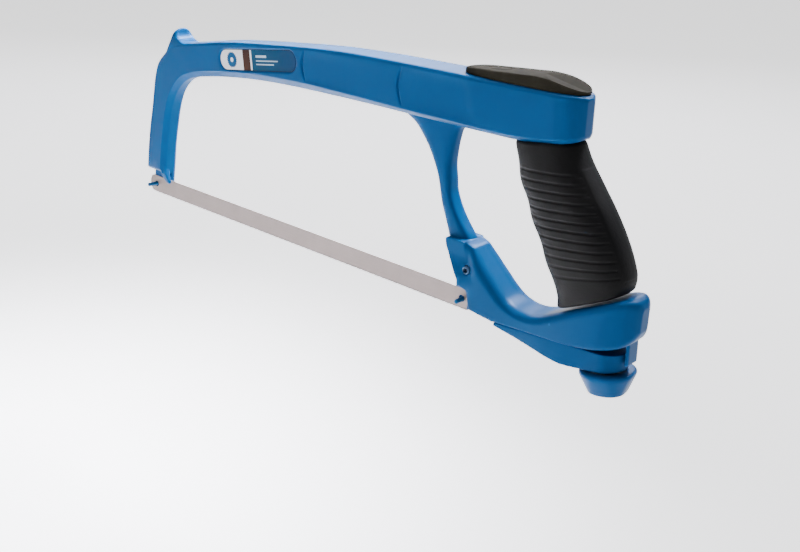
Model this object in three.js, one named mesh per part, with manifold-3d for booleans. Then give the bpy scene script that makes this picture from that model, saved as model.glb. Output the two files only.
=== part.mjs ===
// High-tension hacksaw: cast frame with a closed handle, a bell-crank tension lever,
// a conical tension knob and a standard 12-inch blade.
//
// Saw coordinates, in millimetres: the origin is the centre of the blade's front hole,
// +X runs along the blade towards the handle, +Z goes from the blade up to the top bar,
// and the blade's middle plane is Y = 0. The blade is put on from the -Y side.
import * as THREE from 'three';
import { mergeVertices } from 'three/addons/utils/BufferGeometryUtils.js';
import Module from 'manifold-3d';

const wasm = await Module();
wasm.setup();

// ---------------------------------------------------------------- driving sizes
const CENTRE = { x: 205.3, z: 58.1 };        // middle of the whole saw, the part's origin
const GAP = 0.3;                             // air left between pieces that touch

const BLADE = {
  holes: 298.7, height: 12.7, thickness: 0.65, overhang: 7.6, holeRadius: 2.25, offset: 0.65,
};
const SEAT_Y = BLADE.thickness / 2 + GAP;    // face that the blade lies against
const PIN = {
  frontX: 0, rearX: 300, radius: 1.35, lean: THREE.MathUtils.degToRad(8),
  rearLean: THREE.MathUtils.degToRad(-3), tipY: -7.0, rootY: 6.2, clearance: 0.3,
};

const LEG_HALF = 7.0;                        // half thickness across the saw
const BLOCK_HALF = 12.0;
const POST_HALF = 5.2;
const BASE_HALF = 15.0;

const PIVOT = { x: 309.3, z: 23.4, radius: 2.4 };
const HUB = { radius: 6.4, half: 6.0, bore: 4.0 };
const SHIM = { from: 6.3, to: 7.0, radius: 6.0 };
const CHANNEL_HALF = 7.3;                    // slot in the bridge that the lever swings in
const LEVER_HALF = 6.8;
const FLANGE_HALF = 13.2;                    // widest part of the lever, flush with the base

const SCREW_TILT = THREE.MathUtils.degToRad(8);
const SCREW_SEAT = { x: 399.3, z: -7.0 };    // where the screw's axis leaves the lever
const SCREW = { radius: 3.0, below: 10.6, above: 30.0, swing: THREE.MathUtils.degToRad(9.5) };
const TONGUE = { x: 398.4, radius: 11.7 };   // rounded free end of the lever
const WASHER = { outer: 7.5, inner: 3.5, thickness: 0.8 };
const KNOB = { rim: 15.3, rimHeight: 2.4, foot: 10.4, height: 13.2, flats: 4, hollow: 30 };
const KNOB_TURN = THREE.MathUtils.degToRad(10);
const BARREL = { along: 20.5, radius: 5.5, fromY: -7.0, toY: 12.0 };

const LABEL = { x0: 97.9, z0: 109.4, x1: 160.0, z1: 117.9, radius: 6.4, thickness: 0.4 };
const RECESS_DEPTH = 0.8;

// ---------------------------------------------------------------- small helpers
function solidOf(geometry) {
  const bare = geometry.index ? geometry.toNonIndexed() : geometry.clone();
  for (const name of Object.keys(bare.attributes)) {
    if (name !== 'position') bare.deleteAttribute(name);
  }
  const merged = mergeVertices(bare, 1e-4);
  const mesh = new wasm.Mesh({
    numProp: 3,
    vertProperties: new Float32Array(merged.attributes.position.array),
    triVerts: new Uint32Array(merged.index.array),
  });
  return new wasm.Manifold(mesh);
}

function geometryOf(solid) {
  const mesh = solid.getMesh();
  const geometry = new THREE.BufferGeometry();
  geometry.setAttribute('position', new THREE.BufferAttribute(mesh.vertProperties, 3));
  geometry.setIndex(new THREE.BufferAttribute(mesh.triVerts, 1));
  return geometry;
}

function join(first, ...others) {
  return others.reduce((whole, geometry) => whole.add(solidOf(geometry)), solidOf(first));
}

function cut(solid, ...tools) {
  return tools.reduce((left, geometry) => left.subtract(solidOf(geometry)), solid);
}

// A side-view outline (points [x, z]) made into a plate between two Y planes.
function plate(outline, fromY, toY, bevel = 0) {
  const shape = outline instanceof THREE.Shape
    ? outline
    : new THREE.Shape(outline.map(([x, z]) => new THREE.Vector2(x, z)));
  const geometry = new THREE.ExtrudeGeometry(shape, {
    depth: toY - fromY - 2 * bevel,
    bevelEnabled: bevel > 0,
    bevelThickness: bevel,
    bevelSize: bevel,
    bevelOffset: -bevel,
    bevelSegments: 2,
    curveSegments: 8,
  });
  geometry.rotateX(Math.PI / 2);
  return geometry.translate(0, toY - bevel, 0);
}

// A closed skin over rings that all have the same number of points.
function loft(rings) {
  const count = rings[0].length;
  const positions = rings.flat().flatMap((p) => [p.x, p.y, p.z]);
  const index = [];
  for (let r = 0; r + 1 < rings.length; r += 1) {
    for (let i = 0; i < count; i += 1) {
      const a = r * count + i;
      const b = r * count + ((i + 1) % count);
      index.push(a, b, b + count, a, b + count, a + count);
    }
  }
  const last = (rings.length - 1) * count;
  for (let i = 1; i + 1 < count; i += 1) {
    index.push(0, i + 1, i, last, last + i, last + i + 1);
  }
  const geometry = new THREE.BufferGeometry();
  geometry.setAttribute('position', new THREE.Float32BufferAttribute(positions, 3));
  geometry.setIndex(index);
  return signedVolume(geometry) < 0 ? flipped(geometry) : geometry;
}

function signedVolume(geometry) {
  const p = geometry.attributes.position;
  const [a, b, c] = [new THREE.Vector3(), new THREE.Vector3(), new THREE.Vector3()];
  let sum = 0;
  for (let i = 0; i < geometry.index.count; i += 3) {
    a.fromBufferAttribute(p, geometry.index.getX(i));
    b.fromBufferAttribute(p, geometry.index.getX(i + 1));
    c.fromBufferAttribute(p, geometry.index.getX(i + 2));
    sum += a.dot(b.cross(c));
  }
  return sum;
}

function flipped(geometry) {
  const swapped = [];
  for (let i = 0; i < geometry.index.count; i += 3) {
    swapped.push(geometry.index.getX(i), geometry.index.getX(i + 2), geometry.index.getX(i + 1));
  }
  geometry.setIndex(swapped);
  return geometry;
}

// A cylinder between two points.
function rod(from, to, radius, sides = 20) {
  const a = new THREE.Vector3(...from);
  const b = new THREE.Vector3(...to);
  const geometry = new THREE.CylinderGeometry(radius, radius, a.distanceTo(b), sides);
  const turn = new THREE.Quaternion().setFromUnitVectors(
    new THREE.Vector3(0, 1, 0), b.clone().sub(a).normalize());
  return geometry.applyQuaternion(turn).translate(...a.add(b).multiplyScalar(0.5).toArray());
}

function box(x0, x1, y0, y1, z0, z1) {
  const geometry = new THREE.BoxGeometry(x1 - x0, y1 - y0, z1 - z0);
  return geometry.translate((x0 + x1) / 2, (y0 + y1) / 2, (z0 + z1) / 2);
}

function part(name, geometry, colour, roughness, metalness) {
  const material = new THREE.MeshStandardMaterial({ color: colour, roughness, metalness });
  const mesh = new THREE.Mesh(geometry, material);
  mesh.name = name;
  return mesh;
}

const BLUE = [0x0a5f9e, 0.3, 0.1];
const STEEL = [0xb9b4b2, 0.35, 0.9];
const RUBBER = [0x141414, 0.75, 0.0];

// ---------------------------------------------------------------- frame
// One ring across a beam: `outer` and `inner` are its two edges in the side view.
function beamRing([xo, zo], [xi, zi], half, chamfer, round) {
  const inner = new THREE.Vector2(xi, zi);
  const outward = new THREE.Vector2(xo - xi, zo - zi);
  const length = outward.length();
  outward.normalize();
  const soft = round * 0.29;
  const profile = [
    [0, half - chamfer], [chamfer, half], [length - round, half],
    [length - soft, half - soft], [length, half - round],
  ];
  const mirrored = profile.map(([s, y]) => [s, -y]).reverse();
  return [...profile, ...mirrored].map(([s, y]) => new THREE.Vector3(
    inner.x + outward.x * s, y, inner.y + outward.y * s));
}

// [outer edge, throat edge, half thickness, throat chamfer] from the foot to the block.
const BEAM = [
  [[-4.6, -5.5], [14.6, -5.5], LEG_HALF, 3.1],
  [[-1.5, 14.6], [18.3, 14.6], LEG_HALF, 3.1],
  [[1.8, 34.6], [21.5, 34.0], LEG_HALF, 3.1],
  [[5.3, 50.0], [25.3, 50.0], LEG_HALF, 3.1],
  [[8.6, 62.0], [28.8, 62.0], LEG_HALF, 3.2],
  [[11.8, 75.5], [33.9, 73.4], 7.05, 3.4],
  [[14.8, 86.5], [39.4, 80.4], 7.1, 3.6],
  [[19.0, 95.2], [45.0, 85.2], 7.2, 3.8],
  [[25.6, 101.6], [50.5, 88.2], 7.3, 4.0],
  [[34.0, 108.0], [56.0, 90.0], 7.4, 4.0],
  [[45.0, 112.0], [61.5, 91.4], 7.6, 4.1],
  [[60.0, 114.6], [69.5, 92.9], 7.7, 4.2],
  [[80.0, 118.1], [85.5, 95.5], 8.0, 4.3],
  [[100.0, 121.2], [103.5, 97.7], 8.4, 4.4],
  [[125.0, 124.0], [127.0, 99.9], 8.9, 4.6],
  [[150.0, 126.4], [151.0, 101.2], 9.4, 4.7],
  [[176.0, 128.8], [176.0, 102.0], 9.9, 4.7],
  [[201.0, 130.5], [201.0, 102.7], 10.4, 4.6],
  [[229.0, 131.5], [229.0, 103.2], 11.0, 4.5],
  [[252.0, 131.9], [252.0, 103.5], 11.5, 4.3],
  [[285.0, 132.2], [285.0, 103.7], BLOCK_HALF, 4.0],
  [[340.0, 132.3], [340.0, 104.1], BLOCK_HALF, 4.0],
  [[352.0, 132.3], [352.4, 105.6], BLOCK_HALF, 3.6],
  [[360.7, 132.3], [361.4, 107.0], BLOCK_HALF, 3.4],
  [[366.7, 132.2], [367.2, 108.2], 10.4, 3.2],
  [[370.6, 131.6], [371.0, 109.4], 6.8, 2.6],
  [[372.6, 130.4], [372.7, 111.2], 3.4, 1.6],
];
const BEAM_ROUND = 1.6;

function beam() {
  return loft(BEAM.map(([outer, inner, half, chamfer]) => (
    beamRing(outer, inner, half, chamfer, Math.min(BEAM_ROUND, half / 2)))));
}

// Horn at the front corner, for the second hand: [height, front edge, rear edge, half width].
const HORN = [
  [100.0, 27.0, 52.0, 6.6],
  [106.0, 32.4, 52.0, 7.0],
  [110.0, 34.6, 52.4, 7.2],
  [112.4, 35.7, 50.5, 7.2],
  [113.8, 36.2, 46.6, 7.1],
  [115.6, 36.8, 44.4, 7.0],
  [117.6, 37.5, 43.3, 6.6],
  [119.4, 38.4, 42.7, 5.7],
  [120.5, 39.5, 41.9, 4.3],
];

function horn() {
  return loft(HORN.map(([z, front, rear, half]) => ovalRing(
    new THREE.Vector3(front, 0, z), new THREE.Vector3(rear, 0, z), half, 16, 0.62)));
}

// Squarish oval across the saw between a front point and a rear point.
function ovalRing(front, rear, half, steps, squareness) {
  const ring = [];
  for (let i = 0; i < steps; i += 1) {
    const angle = (2 * Math.PI * (i + 0.5)) / steps;
    const c = Math.cos(angle);
    const s = Math.sin(angle);
    const along = 0.5 + 0.5 * Math.sign(c) * Math.abs(c) ** squareness;
    const point = front.clone().lerp(rear, along);
    point.y = half * Math.sign(s) * Math.abs(s) ** squareness;
    ring.push(point);
  }
  return ring;
}

// Slim post in front of the fingers, flaring into the block above: [front edge, rear edge].
const POST = [
  [[246.0, 105.5], [306.0, 107.5]],
  [[254.0, 101.4], [297.0, 104.2]],
  [[260.5, 97.9], [292.5, 100.0]],
  [[265.5, 93.1], [290.4, 94.0]],
  [[270.8, 86.9], [288.8, 86.0]],
  [[276.7, 77.3], [288.0, 77.0]],
  [[279.6, 71.0], [288.9, 70.0]],
  [[281.4, 64.5], [289.6, 63.5]],
  [[283.2, 56.5], [293.0, 55.5]],
  [[286.0, 48.5], [298.0, 48.0]],
  [[288.8, 40.5], [304.0, 41.0]],
  [[290.5, 34.5], [309.0, 34.5]],
];

function post() {
  return loft(POST.map(([front, rear]) => beamRing(rear, front, POST_HALF, 0.8, 2.2)));
}

// Cheeks around the lever's pivot, from the collar down to the blade's rear end.
function cheeks() {
  const shape = new THREE.Shape();
  shape.moveTo(293.6, 38.9);
  shape.quadraticCurveTo(290.8, 38.2, 291.7, 35.4);
  shape.quadraticCurveTo(294.8, 27.6, 300.0, 20.6);
  shape.lineTo(303.4, 16.2);
  shape.lineTo(303.4, 13.4);
  shape.quadraticCurveTo(314.6, 11.6, 314.6, 4.6);
  shape.lineTo(312.8, 0.8);
  shape.lineTo(331.0, -1.3);
  shape.lineTo(331.0, 7.0);
  shape.quadraticCurveTo(317.0, 15.0, 309.0, 27.0);
  shape.quadraticCurveTo(305.0, 33.0, 304.6, 36.0);
  shape.quadraticCurveTo(304.2, 38.9, 301.0, 38.9);
  return plate(shape, -BLOCK_HALF, BLOCK_HALF, 1.6);
}

// Bridge and handle's base: [x, bottom, top, half width, corner width, corner height].
const BASE = [
  [299.0, 30.0, 38.9, 11.6, 5.0, 2.0],
  [303.0, 24.0, 38.8, 11.7, 6.0, 3.0],
  [306.5, 16.0, 38.0, 11.8, 6.5, 6.0],
  [310.0, 12.0, 35.8, 11.8, 6.5, 8.0],
  [314.0, 1.0, 32.2, 11.9, 6.5, 9.0],
  [318.0, 0.5, 28.2, 12.0, 6.5, 9.0],
  [325.0, -0.4, 21.8, 12.0, 6.5, 7.5],
  [331.0, -0.7, 16.6, 12.0, 6.5, 6.5],
  [338.0, -0.3, 11.8, 12.1, 6.5, 5.0],
  [345.0, 0.2, 9.9, 12.3, 6.0, 4.0],
  [352.0, 0.8, 9.9, 12.7, 6.0, 4.0],
  [360.0, 1.5, 12.0, 13.3, 6.0, 5.0],
  [368.0, 2.2, 15.8, 13.9, 5.5, 5.5],
  [376.0, 2.9, 20.0, 14.5, 5.0, 5.5],
  [384.0, 3.6, 24.2, 14.9, 4.5, 5.0],
  [392.0, 4.6, 28.2, BASE_HALF, 4.0, 4.5],
  [400.0, 6.2, 32.0, 14.6, 4.0, 4.0],
  [406.5, 8.2, 34.8, 13.0, 4.0, 4.0],
  [411.5, 10.6, 36.2, 10.6, 4.0, 4.0],
  [415.0, 14.0, 35.4, 7.4, 3.5, 4.0],
  [417.3, 18.6, 32.0, 3.6, 2.0, 4.0],
];

// Corners are rounded: small below, and `wide` by `tall` above.
function baseRing([x, bottom, top, half, wide, tall]) {
  const low = Math.min(2.4, half * 0.5);
  const side = [[half - low, bottom], [half - low * 0.29, bottom + low * 0.29], [half, bottom + low]];
  for (let i = 0; i <= 3; i += 1) {
    const angle = (Math.PI / 2) * (i / 3);
    side.push([half - wide + wide * Math.cos(angle), top - tall + tall * Math.sin(angle)]);
  }
  const mirrored = side.map(([y, z]) => [-y, z]).reverse();
  return [...side, ...mirrored].map(([y, z]) => new THREE.Vector3(x, y, z));
}

function handleBase() {
  return loft(BASE.map(baseRing));
}

// Upright inside the rubber grip, from the block down to the base.
function gripCore(grow) {
  const front = [[345.0, 106.0], [351.0, 88.0], [359.0, 68.0], [368.0, 48.0], [376.0, 20.0]];
  const rear = [[394.0, 24.0], [389.0, 50.0], [379.0, 70.0], [369.0, 89.0], [361.0, 109.0]];
  const outline = [
    ...front.map(([x, z]) => [x - grow, z]),
    ...rear.map(([x, z]) => [x + grow, z]),
  ];
  return plate(outline, -5.5 - grow, 5.5 + grow);
}

// Small lug that hangs behind the lever's free end.
function tailLug() {
  return plate([[411.0, -1.4], [413.2, -1.2], [412.4, 14.0], [411.0, 14.0]], -5.0, 5.0);
}

function screwPoint(along) {
  return [
    SCREW_SEAT.x - Math.sin(SCREW_TILT) * along, 0,
    SCREW_SEAT.z + Math.cos(SCREW_TILT) * along,
  ];
}

function bladePin(x, lean, extra = 0, farEnd = PIN.rootY) {
  const shift = Math.tan(lean);
  const root = [x + shift * farEnd, farEnd, 0];
  const tip = [x + shift * PIN.tipY, PIN.tipY, 0];
  return rod(root, tip, PIN.radius + extra);
}

// Stadium outline of the label, larger by `grow` all round.
function labelShape(grow) {
  const { x0, z0, x1, z1, radius } = LABEL;
  const angle = Math.atan2(z1 - z0, x1 - x0);
  const shape = new THREE.Shape();
  const quarter = Math.PI / 2;
  shape.absarc(x1, z1, radius + grow, angle - quarter, angle + quarter);
  shape.absarc(x0, z0, radius + grow, angle + quarter, angle + 3 * quarter);
  return shape;
}

// Turns a plate built against the plane Y = 0 into the tapered side of the top bar.
const TAPER = Math.atan2(10.4 - 8.4, 101.0);
function againstBar(geometry, side) {
  const anchorX = 129.0;
  const anchorHalf = 8.98;
  geometry.translate(-anchorX, 0, 0);
  geometry.rotateZ(side * TAPER);
  return geometry.translate(anchorX, side * anchorHalf, 0);
}

// Shallow scoop in the bar's side: deep at its front end and running out at its rear.
function scoop(side, x0, x1, z, halfHeight, slope) {
  const shape = new THREE.Shape();
  shape.absarc(x0 + halfHeight, z, halfHeight, Math.PI / 2, 3 * Math.PI / 2);
  shape.lineTo(x1, z - halfHeight);
  shape.lineTo(x1, z + halfHeight);
  const tool = plate(shape, -8, 8);
  tool.translate(-x0, 0, 0);
  tool.rotateZ(side * slope);
  const half = LEG_HALF + 0.02 * (x0 - 30);
  return tool.translate(x0, side * (half + 8 - RECESS_DEPTH), 0);
}

// Room for the screw, which leans as the lever swings.
function screwSlot(from, to) {
  const [nx, , nz] = screwPoint(BARREL.along);
  const ways = [-0.1, 0.5, 1].map((part) => {
    const ends = [screwPoint(from), screwPoint(to)].map(([x, , z]) => {
      const turn = SCREW.swing * part;
      const dx = x - nx;
      const dz = z - nz;
      const c = Math.cos(turn);
      const s = Math.sin(turn);
      return [nx + dx * c + dz * s, 0, nz - dx * s + dz * c];
    });
    return rod(...ends, SCREW.radius + 0.5, 16);
  });
  return join(...ways).hull();
}

function frameGeometry() {
  let solid = join(beam(), horn(), post(), cheeks(), handleBase(), gripCore(0), tailLug());
  // Blade seat: the near half of the foot stops above the blade.
  solid = cut(solid, plate([
    [-12, -10], [30, -10], [30, 7.3], [20.5, 7.3], [19.6, 10.8], [14, 13.2], [-12, 13.2],
  ], -20, SEAT_Y));
  // Slot that the lever swings in, open at the front and underneath.
  solid = cut(solid, plate([
    [285, 33], [311, 33], [315, 28.6], [318.5, 25], [325, 18.6], [331, 13], [338, 8.4],
    [345, 7.0], [352, 6.8], [388, 7.6], [388, -15], [285, -15],
  ], -CHANNEL_HALF, CHANNEL_HALF));
  solid = cut(solid, bladePin(PIN.frontX, PIN.lean, PIN.clearance, PIN.rootY + GAP));
  solid = cut(solid, rod([PIVOT.x, -14, PIVOT.z], [PIVOT.x, 14, PIVOT.z], PIVOT.radius + GAP));
  const [bx, , bz] = screwPoint(BARREL.along);
  solid = cut(solid, rod([bx, BARREL.fromY - GAP, bz], [bx, 20, bz], BARREL.radius + GAP, 24));
  solid = solid.subtract(screwSlot(-2, BARREL.along));
  solid = solid.subtract(screwSlot(BARREL.along, SCREW.above + 1));
  for (const side of [-1, 1]) {
    const recess = plate(labelShape(0.9), -RECESS_DEPTH, RECESS_DEPTH);
    solid = cut(solid, againstBar(recess, side));
    solid = cut(solid, scoop(side, 171.6, 251.0, 116.6, 7.6, 0.011));
    solid = cut(solid, scoop(side, 253.4, 306.5, 119.0, 8.2, 0.014));
  }
  return geometryOf(solid);
}

// ---------------------------------------------------------------- rubber
// Grip sections from the block down to the base: front edge, rear edge, half width.
const GRIP = [
  [[331.5, 103.2], [370.0, 108.6], 12.6],
  [[333.0, 96.0], [374.5, 99.4], 13.8],
  [[337.0, 84.0], [382.5, 88.0], 15.0],
  [[343.0, 71.0], [391.5, 76.0], 15.6],
  [[350.0, 57.0], [400.0, 63.0], 15.8],
  [[357.0, 44.0], [405.8, 52.0], 15.6],
  [[363.0, 32.0], [408.4, 44.5], 15.0],
  [[367.0, 22.5], [408.2, 40.6], 14.0],
  [[367.5, 18.2], [407.6, 37.4], 13.2],
];

function gripRing([[xf, zf], [xr, zr], half]) {
  return ovalRing(new THREE.Vector3(xf, 0, zf), new THREE.Vector3(xr, 0, zr), half, 20, 0.78);
}

function gripGeometry() {
  const ceiling = beam().translate(0, 0, -GAP);
  const floor = handleBase().translate(0, 0, GAP);
  return geometryOf(cut(solidOf(loft(GRIP.map(gripRing))), gripCore(GAP), ceiling, floor));
}

// Thumb pad: a pointed front tip, a crest two thirds back and a lower rear end.
const PAD = [
  [293.4, 0.6, 0.9],
  [297.5, 4.6, 2.4],
  [303.0, 7.6, 3.5],
  [312.0, 9.6, 4.2],
  [326.0, 10.4, 5.1],
  [343.5, 10.4, 6.3],
  [355.0, 10.0, 4.3],
  [363.0, 8.8, 2.9],
  [368.0, 6.4, 2.0],
  [370.6, 2.4, 1.3],
];
const PAD_SEAT = 132.3 + GAP;

function padGeometry() {
  return loft(PAD.map(([x, half, height]) => {
    const shoulder = Math.min(1.2, half * 0.4);
    const side = [
      [half, 0], [half, height * 0.7], [half - shoulder, height],
    ];
    const mirrored = side.map(([y, z]) => [-y, z]).reverse();
    return [...side, ...mirrored].map(([y, z]) => new THREE.Vector3(x, y, PAD_SEAT + z));
  }));
}

// ---------------------------------------------------------------- lever
function leverGeometry() {
  const rib = plate([
    [296.4, -5.6], [296.4, 5.0], [299.6, 10.5], [302.2, 16.0], [303.4, 21.0], [309.0, 17.4],
    [316.0, 21.6], [324.0, 14.6], [331.0, 9.4], [338.0, 5.2], [345.0, 4.6], [352.0, 4.6],
    [386.6, 5.2], [386.6, -8.0], [372.0, -8.0], [331.6, -2.4], [331.6, -1.8], [312.0, 1.6],
    [306.4, -5.6],
  ], -LEVER_HALF, LEVER_HALF);
  const hub = rod([PIVOT.x, -HUB.half, PIVOT.z], [PIVOT.x, HUB.half, PIVOT.z], HUB.radius, 32);
  const flange = plate([
    [331.6, -1.1], [345.0, -0.2], [352.0, 0.4], [360.0, 1.1], [368.0, 1.8], [376.0, 2.4],
    [392.0, 3.2], [412.0, 4.4], [412.0, -5.2], [SCREW_SEAT.x, SCREW_SEAT.z], [384.0, -9.15],
    [379.0, -9.7], [374.4, -9.4], [350.0, -5.6], [331.6, -2.9],
  ], -FLANGE_HALF, FLANGE_HALF);
  const plan = new THREE.Shape();
  plan.moveTo(325.0, -BLOCK_HALF);
  plan.lineTo(340.0, -BLOCK_HALF);
  plan.quadraticCurveTo(352.0, -BLOCK_HALF, 366.0, -FLANGE_HALF);
  plan.lineTo(378.0, -FLANGE_HALF);
  plan.quadraticCurveTo(388.0, -TONGUE.radius, TONGUE.x, -TONGUE.radius);
  plan.absarc(TONGUE.x, 0, TONGUE.radius, -Math.PI / 2, Math.PI / 2);
  plan.quadraticCurveTo(388.0, TONGUE.radius, 378.0, FLANGE_HALF);
  plan.lineTo(366.0, FLANGE_HALF);
  plan.quadraticCurveTo(352.0, BLOCK_HALF, 340.0, BLOCK_HALF);
  plan.lineTo(325.0, BLOCK_HALF);
  const rounded = new THREE.ExtrudeGeometry(plan, {
    depth: 40, bevelEnabled: false, curveSegments: 16,
  });
  rounded.translate(0, 0, -20);
  let solid = solidOf(flange).intersect(solidOf(rounded)).add(solidOf(rib));
  // Faces of the hub, where the shims run.
  const face = [PIVOT.x, PIVOT.z, HUB.radius + 0.6];
  solid = cut(solid, hubFace(...face, -8, -HUB.half), hubFace(...face, HUB.half, 8));
  solid = solid.add(solidOf(hub));
  // Blade seat on the nose.
  solid = cut(solid, box(290, 308.6, -10, SEAT_Y, -10, 9.8));
  solid = cut(solid, bladePin(PIN.rearX, PIN.rearLean, PIN.clearance, PIN.rootY + GAP));
  solid = cut(solid, rod([PIVOT.x, -9, PIVOT.z], [PIVOT.x, 9, PIVOT.z], HUB.bore + GAP, 24));
  // The hole is long, because the screw leans more than the lever does.
  const ways = [[-1.4, 0], [0.9, 0], [0, -1.6], [0, 1.2]].map(([low, high]) => {
    const [ax, , az] = screwPoint(-6);
    const [bx, , bz] = screwPoint(18);
    return rod([ax + low, 0, az], [bx + high, 0, bz], SCREW.radius + 0.5, 16);
  });
  return geometryOf(solid.subtract(join(...ways).hull()));
}

function hubFace(x, z, radius, fromY, toY) {
  return rod([x, fromY, z], [x, toY, z], radius, 32);
}

function bushingGeometry() {
  const from = [PIVOT.x, -HUB.half, PIVOT.z];
  const to = [PIVOT.x, HUB.half, PIVOT.z];
  return geometryOf(cut(solidOf(rod(from, to, HUB.bore, 24)), pivotBore()));
}

function pivotBore() {
  return rod([PIVOT.x, -14, PIVOT.z], [PIVOT.x, 14, PIVOT.z], PIVOT.radius + GAP);
}

function shimGeometry(side) {
  const from = [PIVOT.x, side * SHIM.from, PIVOT.z];
  const to = [PIVOT.x, side * SHIM.to, PIVOT.z];
  return geometryOf(cut(solidOf(rod(from, to, SHIM.radius, 28)), pivotBore()));
}

// Spring-steel roll pin: a sheet rolled into a tube with a slit.
function rollPin(from, to, outer, wall, slit) {
  const a = new THREE.Vector3(...from);
  const b = new THREE.Vector3(...to);
  const tube = cut(solidOf(rod(from, to, outer)), rod(from, to, outer - wall));
  const across = new THREE.BoxGeometry(outer * 2, a.distanceTo(b) + 1, slit);
  across.translate(-outer, 0, 0);
  const turn = new THREE.Quaternion().setFromUnitVectors(
    new THREE.Vector3(0, 1, 0), b.clone().sub(a).normalize());
  across.applyQuaternion(turn).translate(...a.add(b).multiplyScalar(0.5).toArray());
  return geometryOf(cut(tube, across));
}

// ---------------------------------------------------------------- blade
function bladeGeometry() {
  const half = BLADE.height / 2;
  const x0 = BLADE.offset - BLADE.overhang;
  const x1 = BLADE.offset + BLADE.holes + BLADE.overhang;
  const corner = 3.6;
  const shape = new THREE.Shape();
  shape.moveTo(x0 + corner, -half);
  shape.lineTo(x1 - corner, -half);
  shape.quadraticCurveTo(x1, -half, x1, 0);
  shape.quadraticCurveTo(x1, half, x1 - corner, half);
  shape.lineTo(x0 + corner, half);
  shape.quadraticCurveTo(x0, half, x0, 0);
  shape.quadraticCurveTo(x0, -half, x0 + corner, -half);
  for (const x of [BLADE.offset, BLADE.offset + BLADE.holes]) {
    const hole = new THREE.Path();
    hole.absarc(x, 0, BLADE.holeRadius, 0, 2 * Math.PI);
    shape.holes.push(hole);
  }
  return plate(shape, -BLADE.thickness / 2, BLADE.thickness / 2);
}

// ---------------------------------------------------------------- tension screw and knob
// A turned piece on the screw's axis: profile [radius, distance along the axis].
function turned(profile, sides) {
  const points = profile.map(([r, along]) => new THREE.Vector2(r, along));
  const geometry = new THREE.LatheGeometry(points, sides);
  geometry.rotateX(Math.PI / 2);
  geometry.rotateY(-SCREW_TILT);
  return geometry.translate(SCREW_SEAT.x, 0, SCREW_SEAT.z);
}

const WASHER_TOP = -GAP;
const KNOB_TOP = WASHER_TOP - WASHER.thickness - GAP;
const KNOB_BOTTOM = KNOB_TOP - KNOB.height;

function knobGeometry() {
  let solid = solidOf(turned([
    [0, KNOB_BOTTOM], [KNOB.foot - 1.4, KNOB_BOTTOM], [KNOB.foot, KNOB_BOTTOM + 1.2],
    [KNOB.rim, KNOB_TOP - KNOB.rimHeight], [KNOB.rim, KNOB_TOP - 0.8],
    [KNOB.rim - 0.8, KNOB_TOP], [0, KNOB_TOP],
  ], 36));
  for (let i = 0; i < KNOB.flats; i += 1) {
    solid = cut(solid, flat(KNOB_TURN + (2 * Math.PI * i) / KNOB.flats));
  }
  solid = cut(solid, rod(screwPoint(KNOB_TOP + 1), screwPoint(-SCREW.below - GAP), SCREW.radius + GAP));
  return geometryOf(cut(solid, lockPinRod(LOCK_PIN.radius + GAP)));
}

// Slightly hollow flat down the side of the knob, deeper towards its foot.
function flat(angle) {
  const high = KNOB.rim + 0.2;
  const low = KNOB.foot - 2.0;
  const slope = (high - low) / (KNOB.height - KNOB.rimHeight);
  const reach = KNOB.hollow * Math.hypot(1, slope);
  const at = (along) => {
    const out = high + reach + slope * (along - (KNOB_TOP - KNOB.rimHeight));
    return [out * Math.cos(angle), out * Math.sin(angle), along];
  };
  const tool = rod(at(KNOB_TOP + 14), at(KNOB_BOTTOM - 14), KNOB.hollow, 72);
  tool.rotateY(-SCREW_TILT);
  return tool.translate(SCREW_SEAT.x, 0, SCREW_SEAT.z);
}

const LOCK_PIN = { below: 6.4, radius: 1.2, half: 9.0, wall: 0.4, slit: 0.5 };

function lockPinRod(radius) {
  const [x, , z] = screwPoint(KNOB_TOP - LOCK_PIN.below);
  return rod([x, -13.5, z], [x, 13.5, z], radius, 16);
}

function lockPinGeometry() {
  const [x, , z] = screwPoint(KNOB_TOP - LOCK_PIN.below);
  const { half, radius, wall, slit } = LOCK_PIN;
  return rollPin([x, -half, z], [x, half, z], radius, wall, slit);
}

function screwGeometry() {
  const body = turned([
    [0, -SCREW.below], [SCREW.radius, -SCREW.below],
    [SCREW.radius, SCREW.above - 0.6], [SCREW.radius - 0.6, SCREW.above], [0, SCREW.above],
  ], 20);
  return geometryOf(cut(solidOf(body), lockPinRod(LOCK_PIN.radius + GAP)));
}

function washerGeometry() {
  const bottom = WASHER_TOP - WASHER.thickness;
  return turned([
    [WASHER.inner, bottom], [WASHER.outer, bottom], [WASHER.outer, WASHER_TOP],
    [WASHER.inner, WASHER_TOP], [WASHER.inner, bottom],
  ], 28);
}

function barrelGeometry() {
  const [x, , z] = screwPoint(BARREL.along);
  const body = solidOf(rod([x, BARREL.fromY, z], [x, BARREL.toY, z], BARREL.radius, 24));
  const bore = rod(screwPoint(BARREL.along - 8), screwPoint(BARREL.along + 8), SCREW.radius + GAP);
  const driver = box(x - 4, x + 4, BARREL.toY - 1.2, BARREL.toY + 1, z - 0.6, z + 0.6);
  return geometryOf(cut(body, bore, driver));
}

// ---------------------------------------------------------------- label
function labelGeometry(side) {
  const inner = -RECESS_DEPTH + 0.25;
  const sheet = side < 0
    ? plate(labelShape(0), -inner - LABEL.thickness, -inner)
    : plate(labelShape(0), inner, inner + LABEL.thickness);
  return againstBar(sheet, side);
}

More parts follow.
